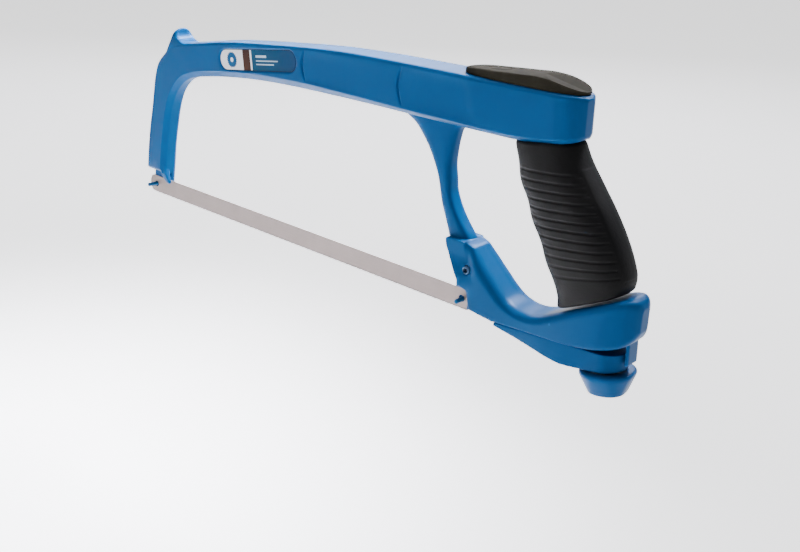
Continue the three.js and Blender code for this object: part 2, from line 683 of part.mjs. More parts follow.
// ---------------------------------------------------------------- assembly
const saw = new THREE.Group();
saw.add(
  part('frame', frameGeometry(), ...BLUE),
  part('rubber_grip', gripGeometry(), ...RUBBER),
  part('thumb_pad', padGeometry(), 0x55534b, 0.8, 0.0),
  part('label_left', labelGeometry(-1), 0xe8e8ea, 0.4, 0.0),
  part('label_right', labelGeometry(1), 0xe8e8ea, 0.4, 0.0),
  part('front_blade_pin', bladePin(PIN.frontX, PIN.lean), ...BLUE),
  part('blade', bladeGeometry(), ...STEEL),
  part('tension_lever', leverGeometry(), ...BLUE),
  part('rear_blade_pin', bladePin(PIN.rearX, PIN.rearLean), ...BLUE),
  part('pivot_bushing', bushingGeometry(), 0xb08d57, 0.4, 0.8),
  part('pivot_shim_left', shimGeometry(-1), ...STEEL),
  part('pivot_shim_right', shimGeometry(1), ...STEEL),
  part('lever_pivot_pin', rollPin(
    [PIVOT.x, -11.6, PIVOT.z], [PIVOT.x, 11.6, PIVOT.z], PIVOT.radius, 0.8, 0.9), ...STEEL),
  part('barrel_nut', barrelGeometry(), ...STEEL),
  part('thrust_washer', washerGeometry(), ...STEEL),
  part('tension_screw', screwGeometry(), ...STEEL),
  part('tension_knob', knobGeometry(), ...BLUE),
  part('knob_lock_pin', lockPinGeometry(), ...STEEL),
);
saw.position.set(-CENTRE.x, 0, -CENTRE.z);

export default saw;
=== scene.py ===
import math

import bmesh
import bpy
import numpy as np
from mathutils import Matrix, Vector


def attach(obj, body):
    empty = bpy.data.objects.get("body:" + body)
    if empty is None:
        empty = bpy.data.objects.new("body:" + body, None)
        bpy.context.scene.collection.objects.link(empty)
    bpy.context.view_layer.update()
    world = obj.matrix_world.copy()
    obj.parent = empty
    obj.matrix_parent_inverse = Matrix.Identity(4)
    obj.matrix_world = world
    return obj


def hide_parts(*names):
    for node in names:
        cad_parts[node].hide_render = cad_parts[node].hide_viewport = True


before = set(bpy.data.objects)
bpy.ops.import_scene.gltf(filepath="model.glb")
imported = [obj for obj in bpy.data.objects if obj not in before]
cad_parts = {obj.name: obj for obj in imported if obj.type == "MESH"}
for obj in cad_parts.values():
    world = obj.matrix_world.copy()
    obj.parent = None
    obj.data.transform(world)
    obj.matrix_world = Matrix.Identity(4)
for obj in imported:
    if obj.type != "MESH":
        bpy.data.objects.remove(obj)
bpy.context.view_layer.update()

# Lengths below are in millimetres in saw coordinates: X along the blade from its front
# pin, Z up to the top bar, Y = 0 in the blade's plane. The frame's origin is CENTRE.
CENTRE = np.array([205.3, 0.0, 58.1])
MM = 0.001


# ---- mesh helpers
def to_row(points):
    return (np.asarray(points, float).reshape(-1, 3) - CENTRE) * MM


def placed(name, data):
    obj = bpy.data.objects.new(name, data)
    bpy.context.scene.collection.objects.link(obj)
    return obj


def new_object(name, verts, faces, closed=True):
    """An object from points in saw coordinates; a closed one gets its faces turned outwards."""
    mesh = bpy.data.meshes.new(name)
    mesh.from_pydata(to_row(verts).tolist(), [], [list(map(int, f)) for f in faces])
    mesh.update()
    obj = placed(name, mesh)
    if closed:
        bm = bmesh.new()
        bm.from_mesh(mesh)
        bmesh.ops.remove_doubles(bm, verts=bm.verts, dist=1e-7)
        bmesh.ops.recalc_face_normals(bm, faces=bm.faces)
        bm.to_mesh(mesh)
        bm.free()
    return obj


def shade(obj, material, body, replaced, smooth=True, angle=None):
    """Gives a finished piece its material and body, and hides the CAD nodes it stands in for."""
    obj.data.materials.clear()
    obj.data.materials.append(material)
    for polygon in obj.data.polygons:
        polygon.use_smooth = smooth
    if angle is not None:
        obj.data.set_sharp_from_angle(angle=math.radians(angle))
    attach(obj, body)
    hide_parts(*replaced)


def grid_faces(rows, columns):
    faces = []
    for r in range(rows - 1):
        for c in range(columns):
            d = (c + 1) % columns
            faces.append((r * columns + c, r * columns + d, (r + 1) * columns + d, (r + 1) * columns + c))
    return faces


def loft(name, rings):
    rings = np.asarray(rings, float)
    rows, columns = rings.shape[:2]
    faces = grid_faces(rows, columns)
    faces.append(tuple(range(columns)))
    faces.append(tuple(range((rows - 1) * columns, rows * columns)))
    return new_object(name, rings.reshape(-1, 3), faces)


def spline(rows, count):
    """Smooth curve through the rows, evenly stepped, by cubic Hermite pieces."""
    rows = np.asarray(rows, float)
    gaps = np.maximum(np.linalg.norm(np.diff(rows, axis=0), axis=1), 1e-6)
    t = np.concatenate([[0.0], np.cumsum(gaps)])
    slopes = np.diff(rows, axis=0) / gaps[:, None]
    tangents = np.empty_like(rows)
    tangents[0], tangents[-1] = slopes[0], slopes[-1]
    weight = (gaps[1:] / (gaps[1:] + gaps[:-1]))[:, None]
    tangents[1:-1] = slopes[:-1] * weight + slopes[1:] * (1 - weight)
    at = np.linspace(0, t[-1], count)
    i = np.clip(np.searchsorted(t, at, side="right") - 1, 0, len(gaps) - 1)
    h = gaps[i][:, None]
    u = ((at - t[i]) / gaps[i])[:, None]
    return (
        rows[i] * (2 * u**3 - 3 * u**2 + 1)
        + tangents[i] * h * (u**3 - 2 * u**2 + u)
        + rows[i + 1] * (-2 * u**3 + 3 * u**2)
        + tangents[i + 1] * h * (u**3 - u**2)
    )


def outline(*points, arc=8):
    """Polygon from corners; a corner given as (x, z, radius) is rounded off."""
    made = []
    count = len(points)
    for k in range(count):
        p = np.array(points[k][:2], float)
        radius = points[k][2] if len(points[k]) > 2 else 0.0
        if radius <= 0:
            made.append(p)
            continue
        a = np.array(points[k - 1][:2], float) - p
        b = np.array(points[(k + 1) % count][:2], float) - p
        la, lb = np.linalg.norm(a), np.linalg.norm(b)
        a, b = a / la, b / lb
        half = math.acos(max(-1.0, min(1.0, float(a @ b)))) / 2
        reach = min(radius / math.tan(half), 0.49 * la, 0.49 * lb)
        for s in np.linspace(0, 1, arc):
            start, end = p + a * reach, p + b * reach
            made.append((1 - s) ** 2 * start + 2 * s * (1 - s) * p + s**2 * end)
    return np.array(made)


def plate(name, shape, y0, y1, bevel=0.0):
    """A side-view polygon made into a plate, its long edges rounded by bevel."""
    n = len(shape)
    verts = [(x, y0, z) for x, z in shape] + [(x, y1, z) for x, z in shape]
    faces = [tuple(range(n)), tuple(range(n, 2 * n))]
    faces += [(i, (i + 1) % n, n + (i + 1) % n, n + i) for i in range(n)]
    obj = new_object(name, verts, faces)
    if bevel:
        bm = bmesh.new()
        bm.from_mesh(obj.data)
        rim = [e for e in bm.edges if abs(e.verts[0].co.y - e.verts[1].co.y) < 1e-7]
        bmesh.ops.bevel(bm, geom=rim, offset=bevel * MM, segments=3, profile=0.5,
                        affect="EDGES", clamp_overlap=True)
        bm.to_mesh(obj.data)
        bm.free()
    return obj


def around(count):
    return np.linspace(0, 2 * math.pi, count, endpoint=False)


def axes_of(start, end, least=1e-3, spare=(1.0, 0.0, 0.0)):
    """Start, unit vector, length and two cross vectors of a line; spare serves a nearly upright one."""
    start, end = np.array(start, float), np.array(end, float)
    length = np.linalg.norm(end - start)
    way = (end - start) / length
    side = np.cross(way, [0.0, 0.0, 1.0])
    if np.linalg.norm(side) < least:
        side = np.cross(way, spare)
    side /= np.linalg.norm(side)
    return start, way, length, side, np.cross(way, side)


def rod(name, start, end, radius, sides, rounding=0.0):
    """Cylinder between two points, its ends rounded off where a rounding is given."""
    start, axis, length, side, other = axes_of(start, end)
    stations = [(0.0, radius), (length, radius)]
    if rounding:
        steps = np.linspace(math.pi / 2, 0, 6)
        head = [(rounding * (1 - math.sin(a)), radius - rounding * (1 - math.cos(a))) for a in steps]
        stations = head + [(length - s, r) for s, r in head[::-1]]
    angles = around(sides)
    rings = [
        [start + axis * s + r * (math.cos(a) * side + math.sin(a) * other) for a in angles]
        for s, r in stations
    ]
    return loft(name, rings)


def baked(obj):
    bpy.context.view_layer.update()
    graph = bpy.context.evaluated_depsgraph_get()
    return bpy.data.meshes.new_from_object(obj.evaluated_get(graph))


def evaluated(obj):
    """Applies every modifier of obj."""
    mesh, old = baked(obj), obj.data
    obj.modifiers.clear()
    obj.data = mesh
    bpy.data.meshes.remove(old)
    return obj


def boolean(obj, *tools, operation="DIFFERENCE"):
    """Applies each tool to obj in turn."""
    for tool in tools:
        modifier = obj.modifiers.new("cut", "BOOLEAN")
        modifier.operation = operation
        modifier.object = tool
        modifier.solver = "EXACT"
        evaluated(obj)


def remove(*objs):
    for obj in objs:
        mesh = obj.data
        bpy.data.objects.remove(obj)
        bpy.data.meshes.remove(mesh)


def join(name, parts):
    """One object holding the parts' meshes, which may overlap."""
    bm = bmesh.new()
    for part in parts:
        bm.from_mesh(part.data)
    mesh = bpy.data.meshes.new(name)
    bm.to_mesh(mesh)
    bm.free()
    remove(*parts)
    return placed(name, mesh)


def cast(obj, voxel, smoothing):
    """Fuses overlapping bodies into one skin with soft, cast-like fillets."""
    exact = obj.copy()
    exact.data = obj.data.copy()
    bpy.context.scene.collection.objects.link(exact)
    modifier = obj.modifiers.new("skin", "REMESH")
    modifier.mode = "VOXEL"
    modifier.voxel_size = voxel * MM
    modifier = obj.modifiers.new("snug", "SHRINKWRAP")
    modifier.wrap_method = "NEAREST_SURFACEPOINT"
    modifier.target = exact
    modifier = obj.modifiers.new("soften", "SMOOTH")
    modifier.factor = 0.5
    modifier.iterations = smoothing
    evaluated(obj)
    remove(exact)
    return obj


def thinned(obj):
    """Fewer triangles where the skin is nearly flat."""
    obj.modifiers.new("thin", "DECIMATE").ratio = 0.45
    return evaluated(obj)


def coords(obj):
    co = np.zeros(len(obj.data.vertices) * 3, np.float32)
    obj.data.vertices.foreach_get("co", co)
    return co.reshape(-1, 3).astype(float) / MM + CENTRE


def set_coords(obj, points):
    obj.data.vertices.foreach_set("co", to_row(points).astype(np.float32).ravel())
    obj.data.update()


def step(value, width):
    """1 where value is well below 0, 0 where it is well above, soft in between."""
    u = np.clip(0.5 - value / (2 * width), 0, 1)
    return u * u * (3 - 2 * u)


# ---- materials
def new_material(name, settings):
    """A material, its node tree and its shader, with the shader's inputs set by name."""
    material = bpy.data.materials.new(name)
    material.use_nodes = True
    bsdf = material.node_tree.nodes["Principled BSDF"]
    for key, value in settings.items():
        bsdf.inputs[key].default_value = value
    return material, material.node_tree, bsdf


def rgb(r, g, b):
    return (r, g, b, 1.0)


def grey(value):
    return rgb(value, value, value)


def add(tree, kind, **values):
    node = tree.nodes.new("ShaderNode" + kind)
    for name, value in values.items():
        if name in node.inputs:
            node.inputs[name].default_value = value
        else:
            setattr(node, name, value)
    return node


def noise_at(tree, scale, detail=4.0, roughness=0.55, stretch=(1, 1, 1)):
    where = add(tree, "TexCoord")
    mapping = add(tree, "Mapping")
    mapping.inputs["Scale"].default_value = stretch
    tree.links.new(where.outputs["Object"], mapping.inputs["Vector"])
    noise = add(tree, "TexNoise", Scale=scale, Detail=detail, Roughness=roughness)
    tree.links.new(mapping.outputs["Vector"], noise.inputs["Vector"])
    return noise.outputs["Fac"]


def ramp(tree, source, stops):
    node = add(tree, "ValToRGB")
    elements = node.color_ramp.elements
    while len(elements) < len(stops):
        elements.new(0.5)
    for element, (place, colour) in zip(elements, stops):
        element.position = place
        element.color = colour
    tree.links.new(source, node.inputs["Fac"])
    return node.outputs["Color"]


def mix(tree, factor, a, b, blend="MIX"):
    node = add(tree, "Mix", data_type="RGBA", blend_type=blend)
    if isinstance(factor, float):
        node.inputs[0].default_value = factor
    else:
        tree.links.new(factor, node.inputs[0])
    for value, place in ((a, 6), (b, 7)):
        if isinstance(value, tuple):
            node.inputs[place].default_value = value
        else:
            tree.links.new(value, node.inputs[place])
    return node.outputs[2]


def combined(tree, operation, a, b):
    node = add(tree, "Math", operation=operation)
    tree.links.new(a, node.inputs[0])
    tree.links.new(b, node.inputs[1])
    return node.outputs[0]


def roughen(tree, bsdf, source, start, end):
    """Drives the roughness from a noise; start and end are (noise value, roughness)."""
    span = ramp(tree, source, [(start[0], grey(start[1])), (end[0], grey(end[1]))])
    tree.links.new(span, bsdf.inputs["Roughness"])


def bump(tree, bsdf, heights):
    """Chains bumps: (height socket, strength, distance in millimetres)."""
    last = None
    for height, strength, distance in heights:
        node = add(tree, "Bump", Strength=strength, Distance=distance * MM)
        tree.links.new(height, node.inputs["Height"])
        if last is not None:
            tree.links.new(last.outputs["Normal"], node.inputs["Normal"])
        last = node
    tree.links.new(last.outputs["Normal"], bsdf.inputs["Normal"])


def edge_mask(tree, low, high):
    geometry = add(tree, "NewGeometry")
    return ramp(tree, geometry.outputs["Pointiness"], [(low, grey(0)), (high, grey(1))])


def paint(name, colour, deep, edge_wear_and_highlight_colour, edge_wear_and_highlight=0.8):
    """Glossy paint on a casting: slight mottling, orange peel, and paler edges that are partly scuffed wear
    and partly a painted highlight.
    """
    material, tree, bsdf = new_material(name, {"IOR": 1.5, "Specular IOR Level": 0.10,
                                               "Specular Tint": rgb(0.25, 0.5, 1.0)})
    broad = noise_at(tree, 14.0, 3.0)
    base = mix(tree, broad, deep, colour)
    # Paler convex edges: scuffed wear mixed with a painted highlight where the rounded edges would catch the
    # light.
    edges = edge_mask(tree, 0.515, 0.585)
    rub = noise_at(tree, 90.0, 5.0, 0.6)
    uneven = ramp(tree, rub, [(0.30, grey(0.25)), (0.70, grey(edge_wear_and_highlight))])
    rubbed_and_highlit = combined(tree, "MULTIPLY", edges, uneven)
    worn_and_highlit = mix(tree, rubbed_and_highlit, base, edge_wear_and_highlight_colour)
    tree.links.new(worn_and_highlit, bsdf.inputs["Base Color"])
    smear = noise_at(tree, 45.0, 5.0)
    roughen(tree, bsdf, smear, (0.25, 0.28), (0.8, 0.40))
    peel = noise_at(tree, 330.0, 2.0)
    sand = noise_at(tree, 1400.0, 2.0)
    bump(tree, bsdf, [(peel, 0.10, 0.10), (sand, 0.05, 0.04)])
    return material


def metal(name, colour, dark, rough=(0.28, 0.45), stretch=(1, 1, 1), scale=300.0, metallic=1.0):
    """Bare or plated metal with fine directional marks and a little grime."""
    material, tree, bsdf = new_material(name, {"Metallic": metallic})
    grime = noise_at(tree, 60.0, 6.0, 0.65)
    base = mix(tree, grime, dark, colour)
    tree.links.new(base, bsdf.inputs["Base Color"])
    marks = noise_at(tree, scale, 4.0, 0.6, stretch)
    roughen(tree, bsdf, marks, (0.3, rough[0]), (0.75, rough[1]))
    bump(tree, bsdf, [(marks, 0.18, 0.04)])
    return material


def rubber(name, colour, dusty, rough, shine, grain=900.0, strength=0.35):
    """Moulded rubber with a fine cell texture, dust in patches and on its edges."""
    material, tree, bsdf = new_material(name, {"IOR": 1.5, "Specular IOR Level": shine})
    dust = noise_at(tree, 35.0, 6.0, 0.65)
    soft = ramp(tree, dust, [(0.45, grey(0)), (0.85, grey(1))])
    edges = edge_mask(tree, 0.52, 0.62)
    both = combined(tree, "MAXIMUM", soft, edges)
    base = mix(tree, both, colour, dusty)
    tree.links.new(base, bsdf.inputs["Base Color"])
    roughen(tree, bsdf, dust, (0.3, rough[0]), (0.8, rough[1]))
    fine = noise_at(tree, grain, 2.0)
    cells = add(tree, "TexVoronoi", Scale=grain * 0.8)
    where = add(tree, "TexCoord")
    tree.links.new(where.outputs["Object"], cells.inputs["Vector"])
    bump(tree, bsdf, [(cells.outputs["Distance"], strength, 0.12), (fine, 0.15, 0.05)])
    return material


def film(name, colours, axis="X", places=(0.0, 1.0)):
    """Label film whose colour runs along one axis: printed film, and the dark sheet of painted shadow in the
    label's pocket.
    """
    material, tree, bsdf = new_material(name, {"Specular IOR Level": 0.08})
    where = add(tree, "TexCoord")
    split = add(tree, "SeparateXYZ")
    tree.links.new(where.outputs["Generated"], split.inputs["Vector"])
    shades = ramp(tree, split.outputs[axis], [(at, rgb(*colour)) for at, colour in zip(places, colours)])
    speck = noise_at(tree, 700.0, 5.0, 0.7)
    dirt = ramp(tree, speck, [(0.3, grey(1)), (0.9, rgb(0.72, 0.74, 0.78))])
    dirty = mix(tree, 0.5, shades, dirt, "MULTIPLY")
    tree.links.new(dirty, bsdf.inputs["Base Color"])
    sheen = noise_at(tree, 120.0, 4.0)
    roughen(tree, bsdf, sheen, (0.3, 0.28), (0.8, 0.42))
    bump(tree, bsdf, [(sheen, 0.1, 0.08)])
    return material


# The third colour goes on convex edges: on BLUE worn paint and a painted highlight, on PIN_BLUE bare metal
# where the tips are worn.
BLUE = paint("paint_blue", rgb(0.0, 0.055, 0.170), rgb(0.0, 0.046, 0.145), rgb(0.02, 0.12, 0.36))
PIN_BLUE = paint("paint_pin", rgb(0.004, 0.11, 0.28), rgb(0.002, 0.06, 0.16), rgb(0.20, 0.22, 0.26), 0.5)
PLATED = metal("zinc_plated", rgb(0.62, 0.61, 0.58), rgb(0.36, 0.35, 0.33))
BLADE_STEEL = metal("blade_grey", rgb(0.325, 0.268, 0.253), rgb(0.235, 0.196, 0.187),
                    rough=(0.42, 0.58), stretch=(1, 30, 30), scale=60.0, metallic=0.55)
BRONZE = metal("bronze", rgb(0.50, 0.32, 0.13), rgb(0.25, 0.15, 0.06), (0.4, 0.6))
GRIP = rubber("grip_rubber", rgb(0.0035, 0.0035, 0.004), grey(0.006), (0.52, 0.68), 0.12)
PAD = rubber("pad_rubber", rgb(0.018, 0.0165, 0.012), rgb(0.034, 0.031, 0.024), (0.62, 0.75), 0.02,
             grain=1300.0, strength=0.12)


# ---- frame
# [outer x, z, throat x, z, half thickness, throat chamfer] from the foot to the block.
BEAM = [
    (-4.6, -5.5, 14.6, -5.5, 7, 3.1), (-1.5, 14.6, 18.3, 14.6, 7, 3.1), (1.8, 34.6, 21.5, 34, 7, 3.1),
    (5.3, 50, 25.3, 50, 7, 3.1), (8.6, 62, 28.8, 62, 7, 3.2), (11.8, 75.5, 33.9, 73.4, 7.05, 3.4),
    (14.8, 86.5, 39.4, 80.4, 7.1, 3.6), (19, 95.2, 45, 85.2, 7.2, 3.8), (25.6, 101.6, 50.5, 88.2, 7.3, 4),
    (34, 108, 56, 90, 7.4, 4), (45, 112, 61.5, 91.4, 7.6, 4.1), (60, 114.6, 69.5, 92.9, 7.7, 4.2),
    (80, 118.1, 85.5, 95.5, 8, 4.3), (100, 121.2, 103.5, 97.7, 8.4, 4.4), (125, 124, 127, 99.9, 8.9, 4.6),
    (150, 126.4, 151, 101.2, 9.4, 4.7), (176, 128.8, 176, 102, 9.9, 4.7),
    (201, 130.5, 201, 102.7, 10.4, 4), (229, 131.5, 229, 103.2, 11, 3.4),
    (252, 131.9, 252, 103.5, 11.5, 2.9), (285, 132.2, 285, 103.7, 12, 2.5),
    (320, 132.3, 320, 103.9, 12, 2.3), (340, 132.3, 340, 104.3, 12, 2.3),
    (352, 132.3, 352.4, 105.6, 12, 2.3), (360.7, 132.3, 361.4, 107, 11.9, 2.3),
    (366.7, 132.2, 367.2, 108.2, 10.3, 2.2), (370.6, 131.6, 371, 109.4, 6.8, 2),
    (372.5, 130.6, 372.6, 111, 3.2, 1.6),
]
# [front x, z, rear x, z] of the slim post in front of the fingers.
POST = [
    (246, 105.5, 306, 107.5), (254, 101.4, 297, 104.2), (260.5, 97.9, 292.5, 100),
    (265.5, 93.1, 290.4, 94), (270.8, 86.9, 288.8, 86), (276.7, 77.3, 288, 77), (279.6, 71, 288.9, 70),
    (281.4, 64.5, 289.6, 63.5), (283.2, 56.5, 293, 55.5), (286, 48.5, 298, 48), (288.8, 40.5, 304, 41),
    (290.5, 34.5, 309, 34.5),
]
# [height, front edge, rear edge, half width] of the horn for the second hand.
HORN = [
    (101, 26.4, 58, 6.6), (105.5, 29.9, 60, 7.1), (109.5, 32.7, 60, 7.3), (111.6, 34, 56.8, 7.3),
    (112.7, 34.8, 51.4, 7.3), (113.9, 35.5, 47.2, 7.2), (115.4, 36.3, 44.2, 7.1),
    (117.2, 37.2, 42.6, 6.9), (118.8, 38, 41.9, 6.2), (120.2, 38.7, 41.7, 5), (121.1, 39.4, 41.4, 3.5),
    (121.7, 39.9, 41.1, 1.7),
]
# [x, bottom, top, half width, corner width, corner height] of the bridge and base.
BASE = [
    (299, 30, 38.9, 11.6, 5, 2), (303, 24, 38.8, 11.7, 6, 3), (306.5, 16, 38.5, 11.8, 6.5, 6),
    (310, 12, 37.3, 11.8, 6.5, 7), (314, 1, 34, 11.9, 6.5, 8), (318, 0.5, 29.9, 12, 6.5, 8),
    (325, -0.4, 23.3, 12, 6.5, 7), (331, -0.7, 17.8, 12, 6.5, 6.5), (338, -0.3, 12.6, 12.1, 6.5, 5),
    (345, 0.2, 10.1, 12.3, 6, 4), (352, 0.8, 9.9, 12.7, 6, 4), (360, 1.5, 12, 13.3, 6, 5),
    (368, 2.2, 15.8, 13.9, 5.5, 5.5), (376, 2.9, 20, 14.5, 5, 5.5), (384, 3.6, 24.2, 14.9, 4.5, 5),
    (392, 4.6, 28.2, 15, 4, 4.5), (400, 6.2, 32, 14.6, 4, 4), (406.5, 8.2, 34.8, 13, 4, 4),
    (411.5, 10.6, 36.2, 10.6, 4, 4), (415, 14, 35.4, 7.4, 3.5, 4), (417.2, 18.6, 32, 3.6, 2, 3.5),
]
TILT = math.radians(8)
SEAT = np.array([399.3, 0.0, -7.0])
AXIS = np.array([-math.sin(TILT), 0.0, math.cos(TILT)])
NUT_ALONG, NUT_RADIUS = 20.5, 5.5
HUB_HALF, HUB_RADIUS = 6.0, 6.4
BLOCK_HALF = 12.0
CHANNEL_HALF, LEVER_HALF = 7.3, 6.8
SEAT_FACE = 0.625
PIN_RADIUS, REAR_PIN_X, FRONT_LEAN, REAR_LEAN = 1.35, 300.0, 8.0, -3.0
TONGUE_X, TONGUE_RADIUS = 398.4, 11.7
LABEL_LINE, LABEL_RADIUS, LABEL_DEPTH = (97.9, 109.4, 160.0, 117.9), 6.4, 0.85


def at_pivot(y):
    return (309.3, y, 23.4)


def squared(value, power):
    """A sine or cosine pushed outwards, so that a circle turns into a rounded square."""
    return math.copysign(abs(value) ** power, value)


ROUND = [(squared(math.cos(a), 0.4), squared(math.sin(a), 0.4)) for a in around(48)]
# [height, front, rear, near y, far y] of the small finger that keeps the blade in its seat.
FINGER = [
    (19.6, 16.4, 18.2, -5.6, -3.4), (16.5, 14.6, 18.6, -5.5, -2), (13.4, 12.8, 19, -5.3, -0.8),
    (11, 12.6, 19.4, -4.9, -0.75), (9, 13.9, 19.9, -4.4, -0.75), (7, 15.4, 20.3, -3.9, -0.75),
    (5.4, 16.8, 20.3, -3.4, -0.8), (4.5, 17.9, 19.8, -2.9, -1.2),
]


def quarter(corner_y, corner_z, wide, tall, start, end, count=5):
    angles = np.linspace(start, end, count)
    return [(corner_y + wide * math.cos(a), corner_z + tall * math.sin(a)) for a in angles]


def beam_ring(row, edge_round):
    """Section of the leg and bar: a chamfered throat side and a rounded outer side."""
    xo, zo, xi, zi, half, chamfer = row
    inner, outer = np.array([xi, zi]), np.array([xo, zo])
    length = np.linalg.norm(outer - inner)
    way = (outer - inner) / length
    r = min(edge_round, half * 0.7)
    side = [(half - chamfer, 0.0), (half - chamfer * 0.5, chamfer * 0.5), (half, chamfer), (half, length / 2)]
    side += quarter(half - r, length - r, r, r, 0, math.pi / 2)
    side += [(half * 0.3, length)]
    ring = side + [(-y, s) for y, s in reversed(side)]
    return [(inner[0] + way[0] * s, y, inner[1] + way[1] * s) for y, s in ring]


def oval_ring(front, rear, half, steps, square):
    """Oval or boxy section between a front and a rear point."""
    ring = []
    for i in range(steps):
        a = 2 * math.pi * (i + 0.5) / steps
        t = 0.5 + 0.5 * squared(math.cos(a), square)
        y = half * squared(math.sin(a), square)
        ring.append((front[0] + (rear[0] - front[0]) * t, y, front[1] + (rear[1] - front[1]) * t))
    return ring


def horn_ring(z, front, rear, half):
    """Flat front, rounded sides, and a rear face that is dished across its width."""
    ring = [(front, half * s) for s in np.linspace(-0.72, 0.72, 9)]
    corner = [(front + 0.9 - 0.9 * math.cos(a), half * 0.72 + half * 0.28 * math.sin(a))
              for a in np.linspace(0.3, math.pi / 2, 5)]
    ring += corner
    for s in np.linspace(1, -1, 21):
        dished = rear - 0.10 * (rear - front) * (1 - s * s) - 1.2 * abs(s) ** 6
        ring.append((max(dished, front + 1.0), half * s))
    ring += [(x, -y) for x, y in reversed(corner)]
    return [(x, y, z) for x, y in ring]


def base_ring(row):
    """Section of the bridge and base, whose bottom edges are rounder behind X = 374."""
    x, bottom, top, half, wide, tall = row
    low = min(0.25 + 2.85 * max(0.0, min(1.0, (x - 374.0) / 26.0)), half * 0.5)
    side = [(0.35 * half, bottom)] + quarter(half - low, bottom + low, low, low, -math.pi / 2, 0)
    side += quarter(half - wide, top - tall, wide, tall, 0, math.pi / 2, 7)
    return [(x, y, z) for y, z in side + [(-y, z) for y, z in reversed(side)]]


def along(distance):
    return SEAT + AXIS * distance


def on_axis(radius, angle, distance):
    side = np.array([math.cos(TILT), 0.0, math.sin(TILT)])
    return along(distance) + radius * (math.cos(angle) * side + math.sin(angle) * np.array([0.0, 1.0, 0.0]))


def at_nut(y):
    nut = along(NUT_ALONG)
    return (nut[0], y, nut[2])


def screw_room(low, high):
    """Room for the screw, which leans about the nut as the lever swings."""
    nut, room_radius, leans = along(NUT_ALONG), 3.7, np.radians([-1.0, 4.7, 9.5])
    bm = bmesh.new()
    for turn in leans:
        c, s = math.cos(turn), math.sin(turn)
        for distance in (low, high):
            for angle in around(24):
                x, y, z = on_axis(room_radius, angle, distance) - nut
                bm.verts.new(to_row([nut + np.array([x * c + z * s, y, z * c - x * s])])[0])
    shell = bmesh.ops.convex_hull(bm, input=list(bm.verts))
    inside = [item for item in shell["geom_interior"] if isinstance(item, bmesh.types.BMVert)]
    bmesh.ops.delete(bm, geom=inside, context="VERTS")
    bmesh.ops.recalc_face_normals(bm, faces=list(bm.faces))
    mesh = bpy.data.meshes.new("tool_room")
    bm.to_mesh(mesh)
    bm.free()
    return placed("tool_room", mesh)


def channel_tool():
    """The slot that the lever's rib swings in."""
    shape = outline(
        (280, 33, 0), (311, 33, 3), (315, 28.6, 3), (318.5, 25, 0), (325, 18.6, 0), (331, 13, 3),
        (338, 8.4, 6), (345, 7, 6), (352, 6.8, 0), (388, 7.6, 2), (388, -20, 0), (280, -20, 0),
    )
    return plate("tool_channel", shape, -CHANNEL_HALF, CHANNEL_HALF)


def build_frame():
    beam = loft("beam", [beam_ring(r, 2.0) for r in spline(BEAM, 230)])
    post = loft("post", [oval_ring(row[:2], row[2:], 5.3, 40, 0.55) for row in spline(POST, 90)])
    horn = loft("horn", [horn_ring(*row) for row in spline(HORN, 90)])
    cheek_shape = outline(
        (291.2, 38.9, 3), (292.4, 33.5, 6), (295.6, 27, 4), (300, 20.6, 4), (303.5, 16, 1.2),
        (303.4, 13.2, 1), (311, 11.6, 4), (314.6, 7, 4), (312.8, 0.8, 0.8), (331, -1.3, 1), (331, 7, 1),
        (317, 15, 8), (309, 27, 4), (306.2, 35, 2), (305.4, 38.7, 1.6),
    )
    cheeks = plate("cheeks", cheek_shape, -BLOCK_HALF, BLOCK_HALF, 1.1)
    base = loft("base", [base_ring(r) for r in spline(BASE, 150)])
    lug_shape = outline((410.9, -1.5, 1), (413.3, -1.2, 1.2), (412.6, 14, 0), (410.9, 14, 0))
    lug = plate("lug", lug_shape, -5, 5, 0.6)
    rows = spline(FINGER, 40)
    finger = loft("finger", [
        [((f + r) / 2 + (r - f) / 2 * x, (n + o) / 2 + (o - n) / 2 * y, z) for x, y in ROUND]
        for z, f, r, n, o in rows
    ])
    seat_shape = outline(
        (-15, -14, 0), (32, -14, 0), (32, 7.3, 0), (20.6, 7.3, 0.8), (19.6, 10.8, 1), (14, 13.2, 1.5),
        (-15, 13.6, 0),
    )
    seat = plate("tool_seat", seat_shape, -20, SEAT_FACE)
    bore = rod("tool_bore", at_nut(-CHANNEL_HALF), at_nut(22), NUT_RADIUS + 0.3, 64)
    rooms = [screw_room(-4, NUT_ALONG), screw_room(NUT_ALONG, 31.5)]
    pin = rod("tool_pin", (-0.4, -20, 0), (0.9, 6.5, 0), 1.62, 32)
    pivot = rod("tool_pivot", at_pivot(-14), at_pivot(14), 2.75, 40)
    channel = channel_tool()
    boolean(beam, seat, pin)
    boolean(cheeks, channel, pivot)
    boolean(base, channel, bore, pivot, *rooms)
    boolean(post, channel, pivot)
    remove(seat, bore, pin, pivot, channel, *rooms)
    body = join("frame_casting", [beam, post, horn, cheeks, base, lug, finger])
    cast(body, 0.5, 6)
    sculpt_frame(body)
    return thinned(body)


def stadium(x, z, x0, z0, x1, z1, radius):
    """Signed distance to a rounded-end bar in the side view, negative inside."""
    dx, dz = x1 - x0, z1 - z0
    t = np.clip(((x - x0) * dx + (z - z0) * dz) / (dx * dx + dz * dz), 0, 1)
    return np.hypot(x - x0 - dx * t, z - z0 - dz * t) - radius


def bar_half(x):
    """Half thickness of the bar, from BEAM's rows behind the corner."""
    rows = np.array(BEAM)
    return np.interp(x, rows[10:, 0], rows[10:, 4])


# [front end, rear end, middle height, half height, bow of the front end] of the side panels.
PANELS = [(171.6, 246.0, 117.2, 10.0, 2.6), (252.2, 305.0, 118.6, 11.6, 3.2)]


def panel(x, z, left, right, middle, reach, bow):
    """Distances outside a side panel's round front end and its rear end, and the height across it."""
    level = (z - middle) / reach
    start = left + bow * level**2 + 1.2 * np.clip(-level, 0, 1)
    end = right + 3.0 * np.clip(-level, -1, 1)
    return start - x, x - end, np.clip(np.abs(level), 0, 1)


